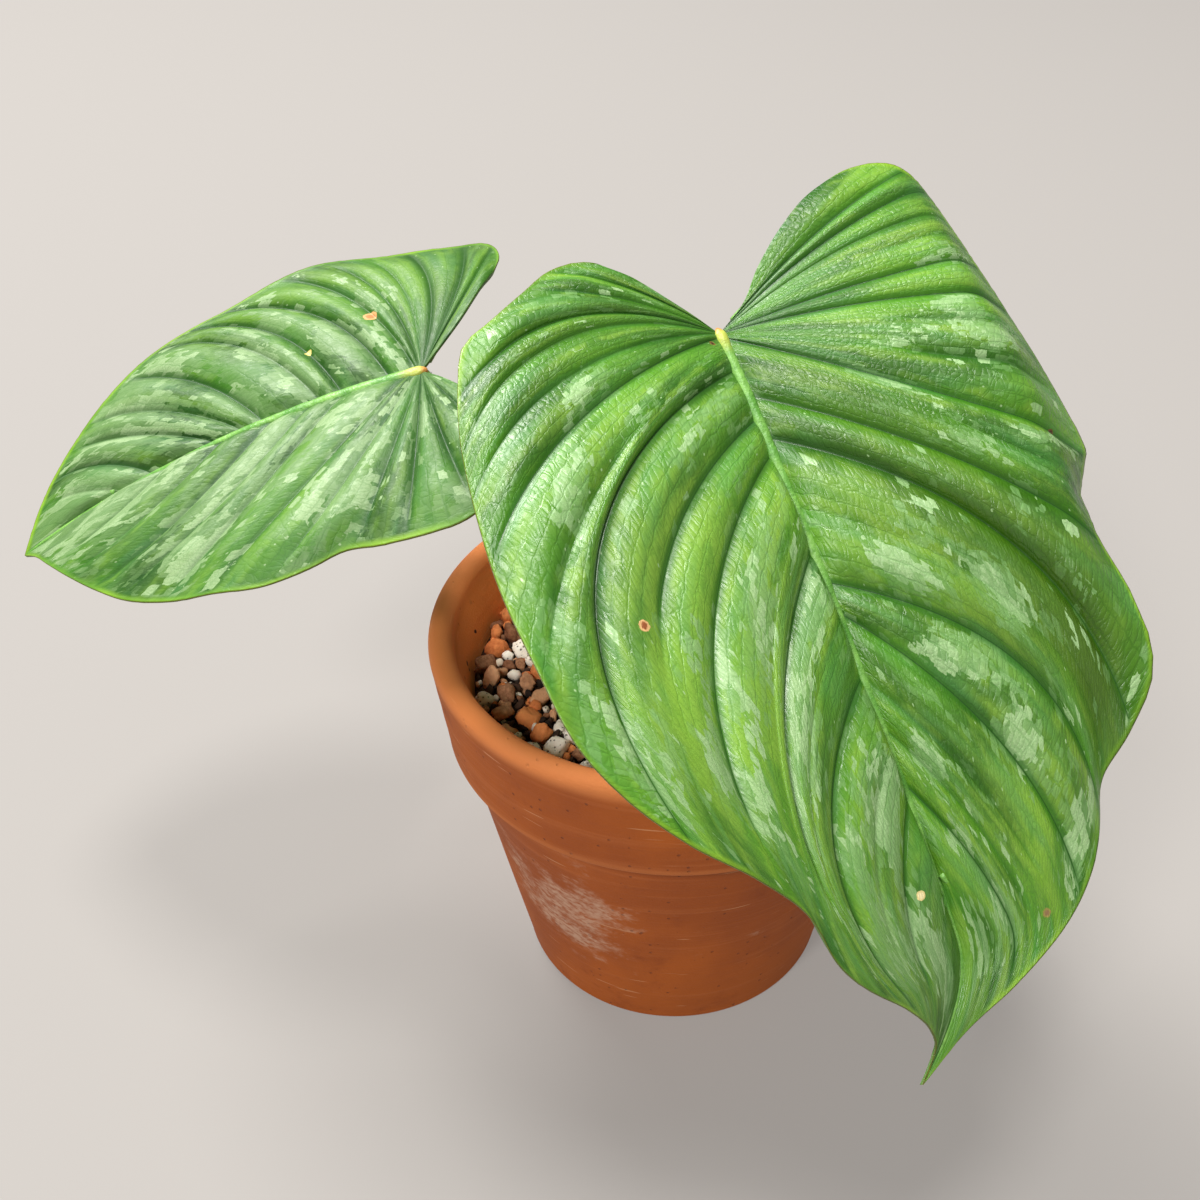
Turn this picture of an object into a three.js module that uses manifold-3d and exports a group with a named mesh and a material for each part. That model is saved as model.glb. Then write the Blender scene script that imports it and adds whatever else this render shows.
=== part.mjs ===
// A potted philodendron: clay pot, chunky potting mix, short stem, two leaf stalks and two
// heart-shaped quilted leaves. Millimetres, +Z up, the front of the plant faces -Y.
import * as THREE from "three";
import { mergeVertices } from "three/addons/utils/BufferGeometryUtils.js";
import Module from "manifold-3d";

const wasm = await Module();
wasm.setup();

// Driving dimensions of the pot
const potHeight = 114;
const rimRadius = 65;
const rimHeight = 32;
const rimFootRadius = 62.2;
const bodyTopRadius = 58.6;
const baseRadius = 44.4;
const lipThickness = 6.6;
const wallThickness = 5;
const floorThickness = 7;
const drainRadius = 7;
const potSides = 48;

// Driving dimensions of the potting mix and of what stands in it
const fitGap = 0.3;
const mixTop = 97;
const mixSlope = 2.5;
const granuleSize = 3.7;
const granuleSpacing = 10.4;
const mixSides = 36;
const stemRadius = 7.5;
const stemAt = new THREE.Vector3(3, 10, 0);
const stemFoot = 66;
const stemTop = 119;
const stemSides = 16;
const sheathSteps = 8;
const sheathSides = 8;

// Where the pot's axis stands from the middle of the whole plant's outline
const axisFromMiddle = new THREE.Vector3(34, 22, 0);

// Colours of the real pieces
const finishes = {
  clay: { color: 0xc4673a, roughness: 0.85, metalness: 0 },
  mix: { color: 0x6e5442, roughness: 0.95, metalness: 0 },
  stem: { color: 0x5d7a34, roughness: 0.6, metalness: 0 },
  stalk: { color: 0x6b8f3a, roughness: 0.55, metalness: 0 },
  blade: { color: 0x3f8a3a, roughness: 0.42, metalness: 0 },
};

// The large leaf. Its flat shape is given by each half's outline from the stalk to the tip, as pairs of
// how far along the midrib and how far out from it. Angles are in degrees. Each vein is given by where it
// leaves the midrib and where it meets the margin, its bow, the depth of its crease, and the shares of
// its length where the crease starts and where it begins to fade.
const largeLeaf = {
  at: new THREE.Vector3(9.5, 8, 191.5),
  length: 172,
  heading: 26,
  turn: 7,
  swing: -20,
  swingFrom: 147,
  pitch: 30,
  droop: 26,
  roll: -4,
  twist: 0,
  tipRise: 22,
  tipArch: 0.15,
  thickness: 1.1,
  ribHeight: 0.9,
  ribDepth: 2.6,
  quilt: 0.16,
  puffLimit: 14,
  steps: [0, 0.05, 0.2, 0.38, 0.56, 0.72, 0.83, 0.92, 1],
  halves: [
    {
      side: -1,
      back: 150,
      rise: 18,
      arch: 0.38,
      outline: [
        [0, 0], [-8, 10], [-15, 19], [-20, 28], [-19, 37], [-14, 46], [-9, 55], [-4, 64], [4, 68],
        [16, 72], [32, 75], [50, 77], [66, 76.5], [80, 75], [92, 69.5], [103, 61], [114, 49.5],
        [124, 41.5], [135, 38], [144, 32], [152, 23], [160, 12], [166, 4], [172, 0],
      ],
      veins: [
        [0, 44, 0.11, 0.8, 0, 0.9], [0, 54, 0.1, 0.8, 0, 0.75], [0, 88, 0.3, 1, 0, 1],
        [0, 101, 0.33, 0.9, 0, 0.95], [0, 111, 0.23, 0.9, 0, 0.95], [1, 125, 0.17, 1, 0, 0.9],
        [5, 150, 0.18, 0.7, 0.3, 0.85], [10, 189, 0.46, 1.1, 0, 0.95], [23, 201, 0.41, 1, 0, 0.45],
        [32, 213, 0.34, 1.1, 0, 0.75], [44, 231, 0.26, 0.3, 0.15, 0.6], [56, 243, 0.37, 1, 0, 0.6],
        [71, 249, 0.46, 0.3, 0.1, 0.6], [86, 255, 0.53, 1.1, 0, 0.95], [100, 261, 0.47, 0.4, 0.05, 0.6],
        [114, 267, 0.41, 0.9, 0, 0.7], [136, 273, 0.3, 0.4, 0, 0.6],
      ],
      folds: [],
      waves: [[0.1, 2, 0.06], [0.5, 2, 0.08], [0.82, -1.5, 0.03]],
    },
    {
      side: 1,
      back: 20,
      rise: 22,
      arch: 0.25,
      outline: [
        [0, 0], [-5, 8], [-12, 14.5], [-20, 24], [-27, 35], [-31, 47], [-30, 57], [-24, 65],
        [-13, 70], [0, 73], [14, 76], [30, 79], [45, 80], [58, 76], [68, 69], [78, 65.5],
        [90, 65], [102, 64], [110, 61], [118, 54], [126, 46], [135, 39.5], [145, 32.5],
        [154, 24.5], [161, 14.5], [166, 5], [172, 0],
      ],
      veins: [
        [0, 73, 0.06, 1, 0, 0.95], [0, 81, 0.08, 1, 0, 0.95], [0, 90, 0.1, 0.9, 0, 0.9],
        [0, 96, 0.05, 0.4, 0.5, 0.85], [0, 104, 0.01, 1, 0, 0.9], [0, 117, 0.03, 1, 0, 0.95],
        [0, 129, 0.02, 0.5, 0.4, 0.8], [0.5, 141, -0.03, 0.9, 0.35, 0.85], [1, 160, -0.02, 1.1, 0, 0.95],
        [6, 173, 0.04, 0.5, 0.5, 0.85], [17, 184, 0.08, 1.1, 0, 0.95], [28, 229, 0.3, 1.2, 0, 0.9],
        [46, 240, 0.3, 0.35, 0, 0.6], [64, 250, 0.35, 1.1, 0, 0.9], [71, 268, 0.2, 1, 0, 0.9],
        [87, 277, 0.14, 0.6, 0, 0.65], [98, 284, 0.14, 0.8, 0, 0.7], [111, 290, 0.16, 1, 0, 0.85],
        [130, 296, 0.14, 0.4, 0, 0.6],
      ],
      folds: [[-40, 36], [-10, 38], [20, 36], [42, 34], [54, 30], [64, 46], [74, 36], [88, 0]],
      foldFrom: 55,
      foldWidth: 11,
      waves: [[0.69, 3, 0.05], [0.79, -3.5, 0.025], [0.85, 1.5, 0.035]],
    },
  ],
};

// The small leaf, given the same way
const smallLeaf = {
  at: new THREE.Vector3(-63.1, 15.6, 177.4),
  length: 124,
  heading: -86.4,
  turn: 1.1,
  swing: 0,
  swingFrom: 100,
  pitch: 14.8,
  droop: 20.2,
  roll: -12,
  twist: -6.6,
  tipRise: 12,
  tipArch: 0.2,
  thickness: 1,
  ribHeight: 0.7,
  ribDepth: 2,
  quilt: 0.15,
  puffLimit: 12,
  steps: [0, 0.06, 0.25, 0.48, 0.7, 0.87, 1],
  halves: [
    {
      side: -1,
      back: 20,
      rise: 6.7,
      arch: 0.32,
      outline: [
        [0, 0], [-6, 7], [-12, 16], [-18, 30], [-20, 42], [-15, 52], [-4, 53], [10, 52], [26, 54],
        [40, 52], [54, 48], [68, 45], [79, 41], [90, 34], [101, 25], [111, 16], [118, 8], [124, 0],
      ],
      veins: [
        [0, 54, 0.1, 0.8, 0, 0.9], [0, 65, 0.18, 0.9, 0, 0.9], [0, 80, 0.22, 0.9, 0, 0.9],
        [0, 92, 0.21, 0.6, 0, 0.8], [0, 103, 0.19, 0.7, 0, 0.8], [1, 114, 0.18, 0.9, 0, 0.9],
        [8, 132, 0.26, 1.1, 0, 0.9], [21, 142, 0.25, 1.1, 0, 0.9], [27, 151, 0.22, 0.8, 0, 0.9],
        [43, 163, 0.17, 1, 0, 0.85], [49, 178, 0.15, 0.9, 0, 0.85], [57, 187, 0.12, 0.9, 0, 0.8],
        [77, 196, 0.2, 1, 0, 0.85], [88, 204, 0.13, 0.6, 0, 0.7],
      ],
      folds: [],
      waves: [[0.3, -1.5, 0.06], [0.5, 1.5, 0.06]],
    },
    {
      side: 1,
      back: 20,
      rise: 5.8,
      arch: 0.33,
      outline: [
        [0, 0], [-7, 7], [-15, 17], [-21, 30], [-20, 43], [-12, 51], [-1, 53], [10, 52.5], [20, 51],
        [30, 54], [42, 55.5], [56, 52], [69, 48], [81, 42], [92, 33], [103, 22], [112, 12],
        [119, 4], [124, 0],
      ],
      veins: [
        [0, 45, 0, 0.6, 0, 0.8], [0, 60, -0.04, 0.8, 0, 0.8], [0, 79, 0.07, 1, 0, 0.85],
        [0, 92, 0.1, 0.8, 0, 0.85], [1, 115, 0.14, 0.7, 0, 0.8], [3, 133, 0.1, 0.8, 0, 0.8],
        [20, 146, 0.11, 0.8, 0, 0.8], [29, 163, 0.21, 0.7, 0, 0.85], [40, 174, 0.23, 0.9, 0, 0.85],
        [53, 188, 0.23, 0.7, 0, 0.8], [70, 200, 0.2, 0.8, 0, 0.7], [92, 209, 0.16, 0.5, 0, 0.6],
      ],
      folds: [],
      waves: [[0.42, -1.5, 0.05], [0.56, 2, 0.06]],
    },
  ],
};

// How every leaf is laid out: steps of the running sums, lines from one vein to the next, steps along the
// midrib, the part of the margin up to the first vein that lies beside the stalk, and where a vein bends
const sumSteps = 24;
const linesPerVein = 4;
const ribStep = 2;
const sinusShare = 0.72;
const veinBendAt = 0.6;
const marginPull = 4;

// The puffs flatten toward the margin and the tip, waves start near the margin, and the blade is thinner
// there. The midrib thins toward the tip.
const fadeFrom = 0.72;
const fadeDepth = 0.92;
const flattenFrom = 0.72;
const wavePull = 3;
const edgeThinness = 0.7;
const ribTipShare = 0.25;

// A crease: its narrow fold and the broad dip around it, as shares of the puffs beside it, how sharp each
// is, how much of the puffs' height the fold takes, and the stretches in which it starts and fades
const foldReach = 0.2;
const foldPower = 1.2;
const dipReach = 0.42;
const dipPower = 1.6;
const foldDepth = 0.5;
const creaseStart = 0.15;
const creaseFade = 0.25;
const thinnest = 0.01;

const degrees = (angle) => (angle * Math.PI) / 180;
const mix = (from, to, share) => from + (to - from) * share;

function smooth(value) {
  const x = Math.min(Math.max(value, 0), 1);
  return x * x * (3 - 2 * x);
}

// Numbers that look random and come out the same each time
function seededRandom(seed) {
  let state = seed;
  return () => {
    state = (state * 1664525 + 1013904223) % 4294967296;
    return state / 4294967296;
  };
}

// Straight steps between pairs of place and value
function stepped(pairs, place) {
  if (place <= pairs[0][0]) return pairs[0][1];
  for (let i = 1; i < pairs.length; i++) {
    const [before, after] = [pairs[i - 1], pairs[i]];
    if (place <= after[0]) {
      return mix(before[1], after[1], (place - before[0]) / (after[0] - before[0]));
    }
  }
  return pairs[pairs.length - 1][1];
}

// Booleans on closed meshes
function toSolid(geometry) {
  const bare = geometry.clone();
  bare.deleteAttribute("normal");
  bare.deleteAttribute("uv");
  const merged = mergeVertices(bare, 1e-4);
  return new wasm.Manifold(
    new wasm.Mesh({
      numProp: 3,
      vertProperties: new Float32Array(merged.attributes.position.array),
      triVerts: new Uint32Array(merged.index.array),
    })
  );
}

function toGeometry(solid) {
  const mesh = solid.getMesh();
  const geometry = new THREE.BufferGeometry();
  geometry.setAttribute("position", new THREE.BufferAttribute(new Float32Array(mesh.vertProperties), 3));
  geometry.setIndex(new THREE.BufferAttribute(new Uint32Array(mesh.triVerts), 1));
  return geometry;
}

// A body turned round the upright axis from a closed profile of radius and height
function turned(profile, sides) {
  const points = profile.map(([radius, height]) => new THREE.Vector2(radius, height));
  const geometry = new THREE.LatheGeometry(points, sides);
  geometry.rotateX(Math.PI / 2);
  return geometry;
}

// Pot
const rimBottom = potHeight - rimHeight;
const lipInner = rimRadius - lipThickness;
const innerFoot = baseRadius - wallThickness;

function innerRadius(height) {
  return mix(innerFoot, lipInner, (height - floorThickness) / (potHeight - floorThickness));
}

function potProfile() {
  const lipDrop = 4;
  const foot = 1.6;
  const bandEdge = 1.4;
  return [
    [drainRadius, 0],
    [baseRadius - foot, 0],
    [baseRadius - 0.3, foot * 0.45],
    [baseRadius + 0.2, foot],
    [bodyTopRadius, rimBottom],
    [rimFootRadius - bandEdge, rimBottom],
    [rimFootRadius - 0.3, rimBottom + bandEdge * 0.4],
    [rimFootRadius, rimBottom + bandEdge],
    [rimRadius, potHeight - lipDrop],
    [rimRadius - 0.3, potHeight - lipDrop * 0.5],
    [rimRadius - 1.3, potHeight - lipDrop * 0.14],
    [rimRadius - 2.7, potHeight],
    [lipInner + 1.8, potHeight - lipDrop * 0.08],
    [lipInner + 0.5, potHeight - lipDrop * 0.5],
    [lipInner - 0.4, potHeight - lipDrop * 1.3],
    [innerRadius(rimBottom), rimBottom],
    [innerFoot, floorThickness + 2.5],
    [innerFoot - 2.5, floorThickness],
    [drainRadius, floorThickness],
    [drainRadius, 0],
  ];
}

// Potting mix with the loose bits on top sunk into it
function mixHeight(x, y) {
  return mixTop - mixSlope * smooth(Math.hypot(x - stemAt.x, y - stemAt.y) / innerRadius(mixTop));
}

function mixBody() {
  const top = innerRadius(mixTop) - fitGap;
  const foot = innerFoot - fitGap;
  const floor = floorThickness + fitGap;
  return turned(
    [
      [0, floor],
      [foot - 3, floor],
      [foot, floor + 3.3],
      [top - 0.9, mixTop - mixSlope - 1.5],
      [top * 0.72, mixTop - mixSlope * 0.8],
      [top * 0.4, mixTop - mixSlope * 0.3],
      [0, mixTop],
    ],
    mixSides
  );
}

function granule(random, size) {
  const bit = new THREE.IcosahedronGeometry(1, 0);
  const stretch = new THREE.Vector3(
    size * mix(0.75, 1.3, random()),
    size * mix(0.7, 1.15, random()),
    size * mix(0.6, 0.95, random())
  );
  bit.scale(stretch.x, stretch.y, stretch.z);
  bit.rotateX(random() * 2 * Math.PI);
  bit.rotateZ(random() * 2 * Math.PI);
  return bit;
}

function pottingMix() {
  const random = seededRandom(11);
  const reach = innerRadius(mixTop) - fitGap - granuleSize * 1.35;
  const rowStep = granuleSpacing * Math.sin(Math.PI / 3);
  const jitter = () => (random() - 0.5) * granuleSpacing * 0.45;
  const bits = [];
  const rows = Math.ceil((2 * reach) / granuleSpacing);
  for (let row = -rows; row <= rows; row++) {
    for (let column = -rows; column <= rows; column++) {
      const x = (column + (row % 2) * 0.5) * granuleSpacing + jitter();
      const y = row * rowStep + jitter();
      const size = granuleSize * mix(0.7, 1.2, random());
      const sink = mix(-0.1, 0.35, random()) * size;
      const bit = granule(random, size);
      const clearOfStem = Math.hypot(x - stemAt.x, y - stemAt.y) > stemRadius + size * 1.4;
      if (Math.hypot(x, y) < reach && clearOfStem) {
        bit.translate(x, y, mixHeight(x, y) - sink);
        bits.push(toSolid(bit));
      }
    }
  }
  const holeRadius = stemRadius + fitGap;
  const holeHeight = 60;
  const hole = new THREE.CylinderGeometry(holeRadius, holeRadius, holeHeight, stemSides);
  hole.rotateX(Math.PI / 2);
  hole.translate(stemAt.x, stemAt.y, stemFoot - fitGap + holeHeight / 2);
  const body = toSolid(mixBody()).add(wasm.Manifold.union(bits));
  return toGeometry(body.subtract(toSolid(hole)));
}

// A round tube with flat ends along a smooth route, with a radius for each share of the route. A socket
// for it starts a little before the route does.
function tube(route, radiusAt, steps, sides, startBefore = 0) {
  const curve = new THREE.CatmullRomCurve3(route.map((place) => new THREE.Vector3(...place)));
  const frames = curve.computeFrenetFrames(steps, false);
  const places = [];
  const faces = [];
  const endMiddles = [];
  for (let i = 0; i <= steps; i++) {
    const middle = curve.getPointAt(i / steps);
    if (i === 0) middle.addScaledVector(frames.tangents[0], -startBefore);
    if (i === 0 || i === steps) endMiddles.push(middle);
    const radius = radiusAt(i / steps);
    for (let j = 0; j < sides; j++) {
      const angle = (j / sides) * 2 * Math.PI;
      const place = middle
        .clone()
        .addScaledVector(frames.normals[i], Math.cos(angle) * radius)
        .addScaledVector(frames.binormals[i], Math.sin(angle) * radius);
      places.push(place);
    }
  }
  const first = places.push(endMiddles[0]) - 1;
  const last = places.push(endMiddles[1]) - 1;
  for (let j = 0; j < sides; j++) {
    const next = (j + 1) % sides;
    for (let i = 0; i < steps; i++) {
      const [a, b] = [i * sides + j, i * sides + next];
      faces.push([a, b, b + sides], [a, b + sides, a + sides]);
    }
    faces.push([first, next, j], [last, steps * sides + j, steps * sides + next]);
  }
  return closedMesh(places, faces);
}

// A geometry of shared points, with its faces turned outward
function closedMesh(places, faces) {
  let volume = 0;
  for (const [a, b, c] of faces) {
    volume += places[a].dot(places[b].clone().cross(places[c]));
  }
  const outward = volume > 0 ? faces : faces.map(([a, b, c]) => [a, c, b]);
  const geometry = new THREE.BufferGeometry();
  geometry.setAttribute("position", new THREE.Float32BufferAttribute(places.flatMap((p) => p.toArray()), 3));
  geometry.setIndex(outward.flat());
  return geometry;
}

// Leaf sheet: a midrib curve in space with a cross-section on either side of it
function midribFrame(leaf, half, along) {
  const towardBack = along < 0 ? half.back : leaf.droop;
  const pitchAt = (place) => degrees(leaf.pitch + (towardBack * place) / leaf.length);
  const headingAt = (place) => degrees(leaf.heading + leaf.turn * smooth(place / leaf.length));
  const middle = leaf.at.clone();
  const step = along / sumSteps;
  for (let i = 0; i < sumSteps; i++) {
    const pitch = pitchAt((i + 0.5) * step);
    const heading = headingAt((i + 0.5) * step);
    middle.x += step * Math.cos(pitch) * Math.sin(heading);
    middle.y -= step * Math.cos(pitch) * Math.cos(heading);
    middle.z -= step * Math.sin(pitch);
  }
  const pitch = pitchAt(along);
  const heading = headingAt(along);
  const across = new THREE.Vector3(Math.cos(heading), Math.sin(heading), 0);
  const upright = new THREE.Vector3(
    Math.sin(pitch) * Math.sin(heading),
    -Math.sin(pitch) * Math.cos(heading),
    Math.cos(pitch)
  );
  const tilt = degrees(leaf.roll + (leaf.twist * along) / leaf.length);
  const side = across.clone().multiplyScalar(Math.cos(tilt)).addScaledVector(upright, Math.sin(tilt));
  const normal = upright.clone().multiplyScalar(Math.cos(tilt)).addScaledVector(across, -Math.sin(tilt));
  const towardTip = Math.max(0, (along - leaf.swingFrom) / (leaf.length - leaf.swingFrom));
  middle.addScaledVector(side, leaf.swing * towardTip * towardTip);
  return { middle, side, normal };
}

function riseAngle(leaf, half, along, out) {
  const share = Math.min(Math.max(along / leaf.length, -0.2), 1);
  const rise = mix(half.rise, leaf.tipRise, share);
  const arch = mix(half.arch, leaf.tipArch, share);
  const fold = half.folds.length ? stepped(half.folds, along) : 0;
  return degrees(rise - arch * out - fold * smooth((out - half.foldFrom) / half.foldWidth || 0));
}

function sheetPoint(leaf, half, along, out, lift) {
  const { middle, side, normal } = midribFrame(leaf, half, along);
  const step = out / sumSteps;
  const place = middle.clone();
  for (let i = 0; i < sumSteps; i++) {
    const angle = riseAngle(leaf, half, along, (i + 0.5) * step);
    place.addScaledVector(side, half.side * step * Math.cos(angle));
    place.addScaledVector(normal, step * Math.sin(angle));
  }
  const edge = riseAngle(leaf, half, along, out);
  place.addScaledVector(normal, lift * Math.cos(edge));
  return place.addScaledVector(side, -half.side * lift * Math.sin(edge));
}

// Flat leaf: lines that follow the veins from the midrib to the margin
function outlineCurve(half) {
  const places = half.outline.map(([along, out]) => new THREE.Vector3(along, out, 0));
  const curve = new THREE.CatmullRomCurve3(places);
  curve.arcLengthDivisions = 600;
  return curve;
}

// Places on the margin where the lines end: the edge beside the stalk, each vein, and the tip
function marginEnds(half, total) {
  return [half.veins[0][1] * sinusShare, ...half.veins.map(([, end]) => end), total];
}

// One line of the flat leaf: 0 is the edge beside the stalk, whole numbers are veins, the last is the tip
function veinLine(leaf, half, curve, vein, share) {
  const total = curve.getLength();
  if (vein <= 0) return curve.getPointAt((share * half.veins[0][1] * sinusShare) / total);
  if (vein > half.veins.length) return new THREE.Vector3(leaf.length, 0, 0);
  const [along, reach, bow] = half.veins[vein - 1];
  const start = new THREE.Vector3(along, 0, 0);
  const end = curve.getPointAt(reach / total);
  const run = end.clone().sub(start);
  const bend = start.clone().addScaledVector(run, veinBendAt);
  bend.add(new THREE.Vector3(-run.y, run.x, 0).multiplyScalar(bow));
  return new THREE.QuadraticBezierCurve3(start, bend, end).getPoint(share);
}

// A place on the flat leaf, between two veins and at a share of their length. The margin pulls it onto
// the outline.
function flatPoint(leaf, half, curve, line, share) {
  const total = curve.getLength();
  const vein = Math.min(Math.floor(line / linesPerVein), half.veins.length);
  const between = line / linesPerVein - vein;
  const lines = [-1, 0, 1, 2].map((step) => veinLine(leaf, half, curve, vein + step, share));
  const widths = [0, 1, 2].map((i) => lines[i].distanceTo(lines[i + 1]));
  const place = lines[1].clone().lerp(lines[2], between);
  const ends = marginEnds(half, total);
  const reach = mix(ends[vein], ends[vein + 1], between);
  const nextEnd = veinLine(leaf, half, curve, vein + 1, 1);
  const chord = veinLine(leaf, half, curve, vein, 1).lerp(nextEnd, between);
  place.addScaledVector(curve.getPointAt(reach / total).sub(chord), share ** marginPull);
  return { along: place.x, out: place.y, vein, between, widths, marginShare: reach / total };
}

// How deep a vein's crease is at a share of its length
function creaseDepth(half, vein, share) {
  if (vein === 0 || vein > half.veins.length) return 0;
  const [, , , depth, from, fadeAt] = half.veins[vein - 1];
  const started = from > 0 ? smooth((share - from) / creaseStart) : 1;
  return depth * started * (1 - smooth((share - fadeAt) / creaseFade));
}

// Height of the puffed surface over the sheet
function puff(leaf, half, flat, share) {
  const [widthBefore, width, widthAfter] = flat.widths.map((wide) => Math.min(wide, leaf.puffLimit));
  const level = mix((widthBefore + width) / 2, (width + widthAfter) / 2, flat.between);
  const before = creaseDepth(half, flat.vein, share);
  const after = creaseDepth(half, flat.vein + 1, share);
  const away = flat.between * flat.widths[1];
  const sunk = (reach, power) => {
    const spread = Math.max(reach * width, thinnest);
    const near = before * Math.exp(-((away / spread) ** power));
    const far = after * Math.exp(-(((flat.widths[1] - away) / spread) ** power));
    return near + far - near * far;
  };
  const crest = 1 - foldDepth * sunk(foldReach, foldPower) - (1 - foldDepth) * sunk(dipReach, dipPower);
  const fade = 1 - fadeDepth * smooth((share - fadeFrom) / (1 - fadeFrom));
  const nearTip = 1 - smooth((flat.along / leaf.length - flattenFrom) / (1 - flattenFrom));
  let height = leaf.quilt * level * crest * fade * nearTip;
  for (const [at, size, spread] of half.waves) {
    height += size * Math.exp(-(((flat.marginShare - at) / spread) ** 2)) * share ** wavePull;
  }
  return height;
}

// The midrib's row of points, raised above the blade and deeper below it
function ribRow(leaf, addPoint) {
  const count = Math.round(leaf.length / ribStep);
  const row = [];
  for (let i = 0; i <= count; i++) {
    const along = i * ribStep;
    const size = i === count ? 0 : mix(1, ribTipShare, along / leaf.length);
    const depth = leaf.thickness * mix(edgeThinness, 1, size) + (leaf.ribHeight + leaf.ribDepth) * size;
    row.push(addPoint({ along, out: 0 }, leaf.halves[0], leaf.ribHeight * size, depth));
  }
  return row;
}

// One half's points, a row for each line from the midrib to the margin. The last line is only the tip.
function halfRows(leaf, half, rib, addPoint) {
  const curve = outlineCurve(half);
  const lines = (half.veins.length + 1) * linesPerVein;
  const starts = [0, ...half.veins.map(([along]) => along), leaf.length];
  const rows = [];
  for (let line = 0; line < lines; line++) {
    const vein = Math.floor(line / linesPerVein);
    const along = mix(starts[vein], starts[vein + 1], line / linesPerVein - vein);
    const onRib = Math.round(along / ribStep);
    const points = leaf.steps.slice(1).map((share) => {
      const flat = flatPoint(leaf, half, curve, line, share);
      const thickness = leaf.thickness * (share === 1 ? edgeThinness : 1);
      return addPoint(flat, half, puff(leaf, half, flat, share), thickness);
    });
    rows.push({ onRib, points: [rib[onRib], ...points] });
  }
  const tip = rib[rib.length - 1];
  rows.push({ onRib: rib.length - 1, points: [tip, ...leaf.steps.slice(1).map(() => tip)] });
  return rows;
}

// The upper faces between two neighbouring rows
function rowFaces(before, after, rib) {
  const faces = [];
  for (let i = before.onRib; i < after.onRib; i++) faces.push([rib[i], before.points[1], rib[i + 1]]);
  faces.push([before.points[1], after.points[1], after.points[0]]);
  for (let step = 1; step < before.points.length - 1; step++) {
    const [a, b] = [before.points[step], before.points[step + 1]];
    const [c, d] = [after.points[step + 1], after.points[step]];
    faces.push([a, b, c], [a, c, d]);
  }
  return faces;
}

// The pairs of neighbouring points along a half's edge
function edgePairs(rows) {
  const last = rows[0].points.length - 1;
  const besideStalk = rows[0].points.slice(1).map((point, step) => [rows[0].points[step], point]);
  const margin = rows.slice(1).map((row, line) => [rows[line].points[last], row.points[last]]);
  return [...besideStalk, ...margin].filter(([a, b]) => a !== b);
}

// A puffed blade: two halves on one midrib, closed round the edge by a band down to the underside
function leafBlade(leaf) {
  const tops = [];
  const undersides = [];
  const addPoint = (flat, half, top, depth) => {
    const out = Math.max(flat.out, 0);
    undersides.push(sheetPoint(leaf, half, flat.along, out, top - depth));
    return tops.push(sheetPoint(leaf, half, flat.along, out, top)) - 1;
  };
  const rib = ribRow(leaf, addPoint);
  const upper = [];
  const edge = [];
  for (const half of leaf.halves) {
    const rows = halfRows(leaf, half, rib, addPoint);
    const turned = (face) => (half.side > 0 ? face : [...face].reverse());
    for (let line = 1; line < rows.length; line++) {
      upper.push(...rowFaces(rows[line - 1], rows[line], rib).map(turned));
    }
    edge.push(...edgePairs(rows).map((pair) => (half.side > 0 ? [...pair].reverse() : pair)));
  }
  const whole = upper.filter(([a, b, c]) => a !== b && b !== c && c !== a);
  const under = tops.length;
  const faces = [...whole];
  for (const [a, b, c] of whole) faces.push([a + under, c + under, b + under]);
  for (const [from, to] of edge) faces.push([from, to, to + under], [from, to + under, from + under]);
  return closedMesh([...tops, ...undersides], faces);
}

// The stalk's last stretch meets the back of its blade square on
function blockBelow(leaf, drop) {
  return sheetPoint(leaf, leaf.halves[0], 0, 0, -drop).toArray();
}

const stalkGap = 0.35;
const stalkEnd = 8;
const stalkSteps = 18;
const stalkSides = 10;

function stalkRoute(leaf, foot, bends) {
  const depth = leaf.thickness + leaf.ribDepth;
  return [...foot, ...bends, blockBelow(leaf, depth + stalkEnd), blockBelow(leaf, depth + stalkGap)];
}

const largeRoute = stalkRoute(
  largeLeaf,
  [[5, 12, 108], [6.5, 14, 118]],
  [[10, 20, 140], [12, 22, 162]]
);
const smallRoute = stalkRoute(
  smallLeaf,
  [[-1, 9, 106], [-4, 10, 114]],
  [[-18, 14, 132], [-42, 17, 152]]
);
const largeStalkRadius = (share) => mix(3.6, 2.2, share);
const smallStalkRadius = (share) => mix(2.9, 1.6, share);

function stalk(route, radiusAt) {
  return tube(route, radiusAt, stalkSteps, stalkSides);
}

// Stem body with a raised leaf scar at every fourth ring and a rounded top
function stemBody() {
  const ringCount = 14;
  const ringsPerScar = 4;
  const between = (stemRadius - 0.5) * 0.97;
  const scar = (stemRadius - 0.5) * 1.06;
  const roundFrom = 0.86;
  const roundReach = 0.16;
  const rings = [];
  for (let i = 0; i <= ringCount; i++) {
    const share = i / ringCount;
    const overTop = Math.max(0, share - roundFrom) / roundReach;
    const radius = i % ringsPerScar === 2 ? scar : between;
    rings.push([radius * Math.sqrt(1 - overTop ** 2), mix(stemFoot, stemTop, share)]);
  }
  const body = turned([[0, stemFoot], ...rings, [0, stemTop]], stemSides);
  return body.translate(stemAt.x, stemAt.y, 0);
}

// The rolled sheath of the next leaf, wide at the foot and pointed at the top
function sheath() {
  const route = [[9, 12, 106], [11, 13, 116], [12.5, 12.5, 128], [13, 11.5, 142]];
  return tube(route, (share) => mix(3.2, 0.5, share ** 1.4), sheathSteps, sheathSides);
}

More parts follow.
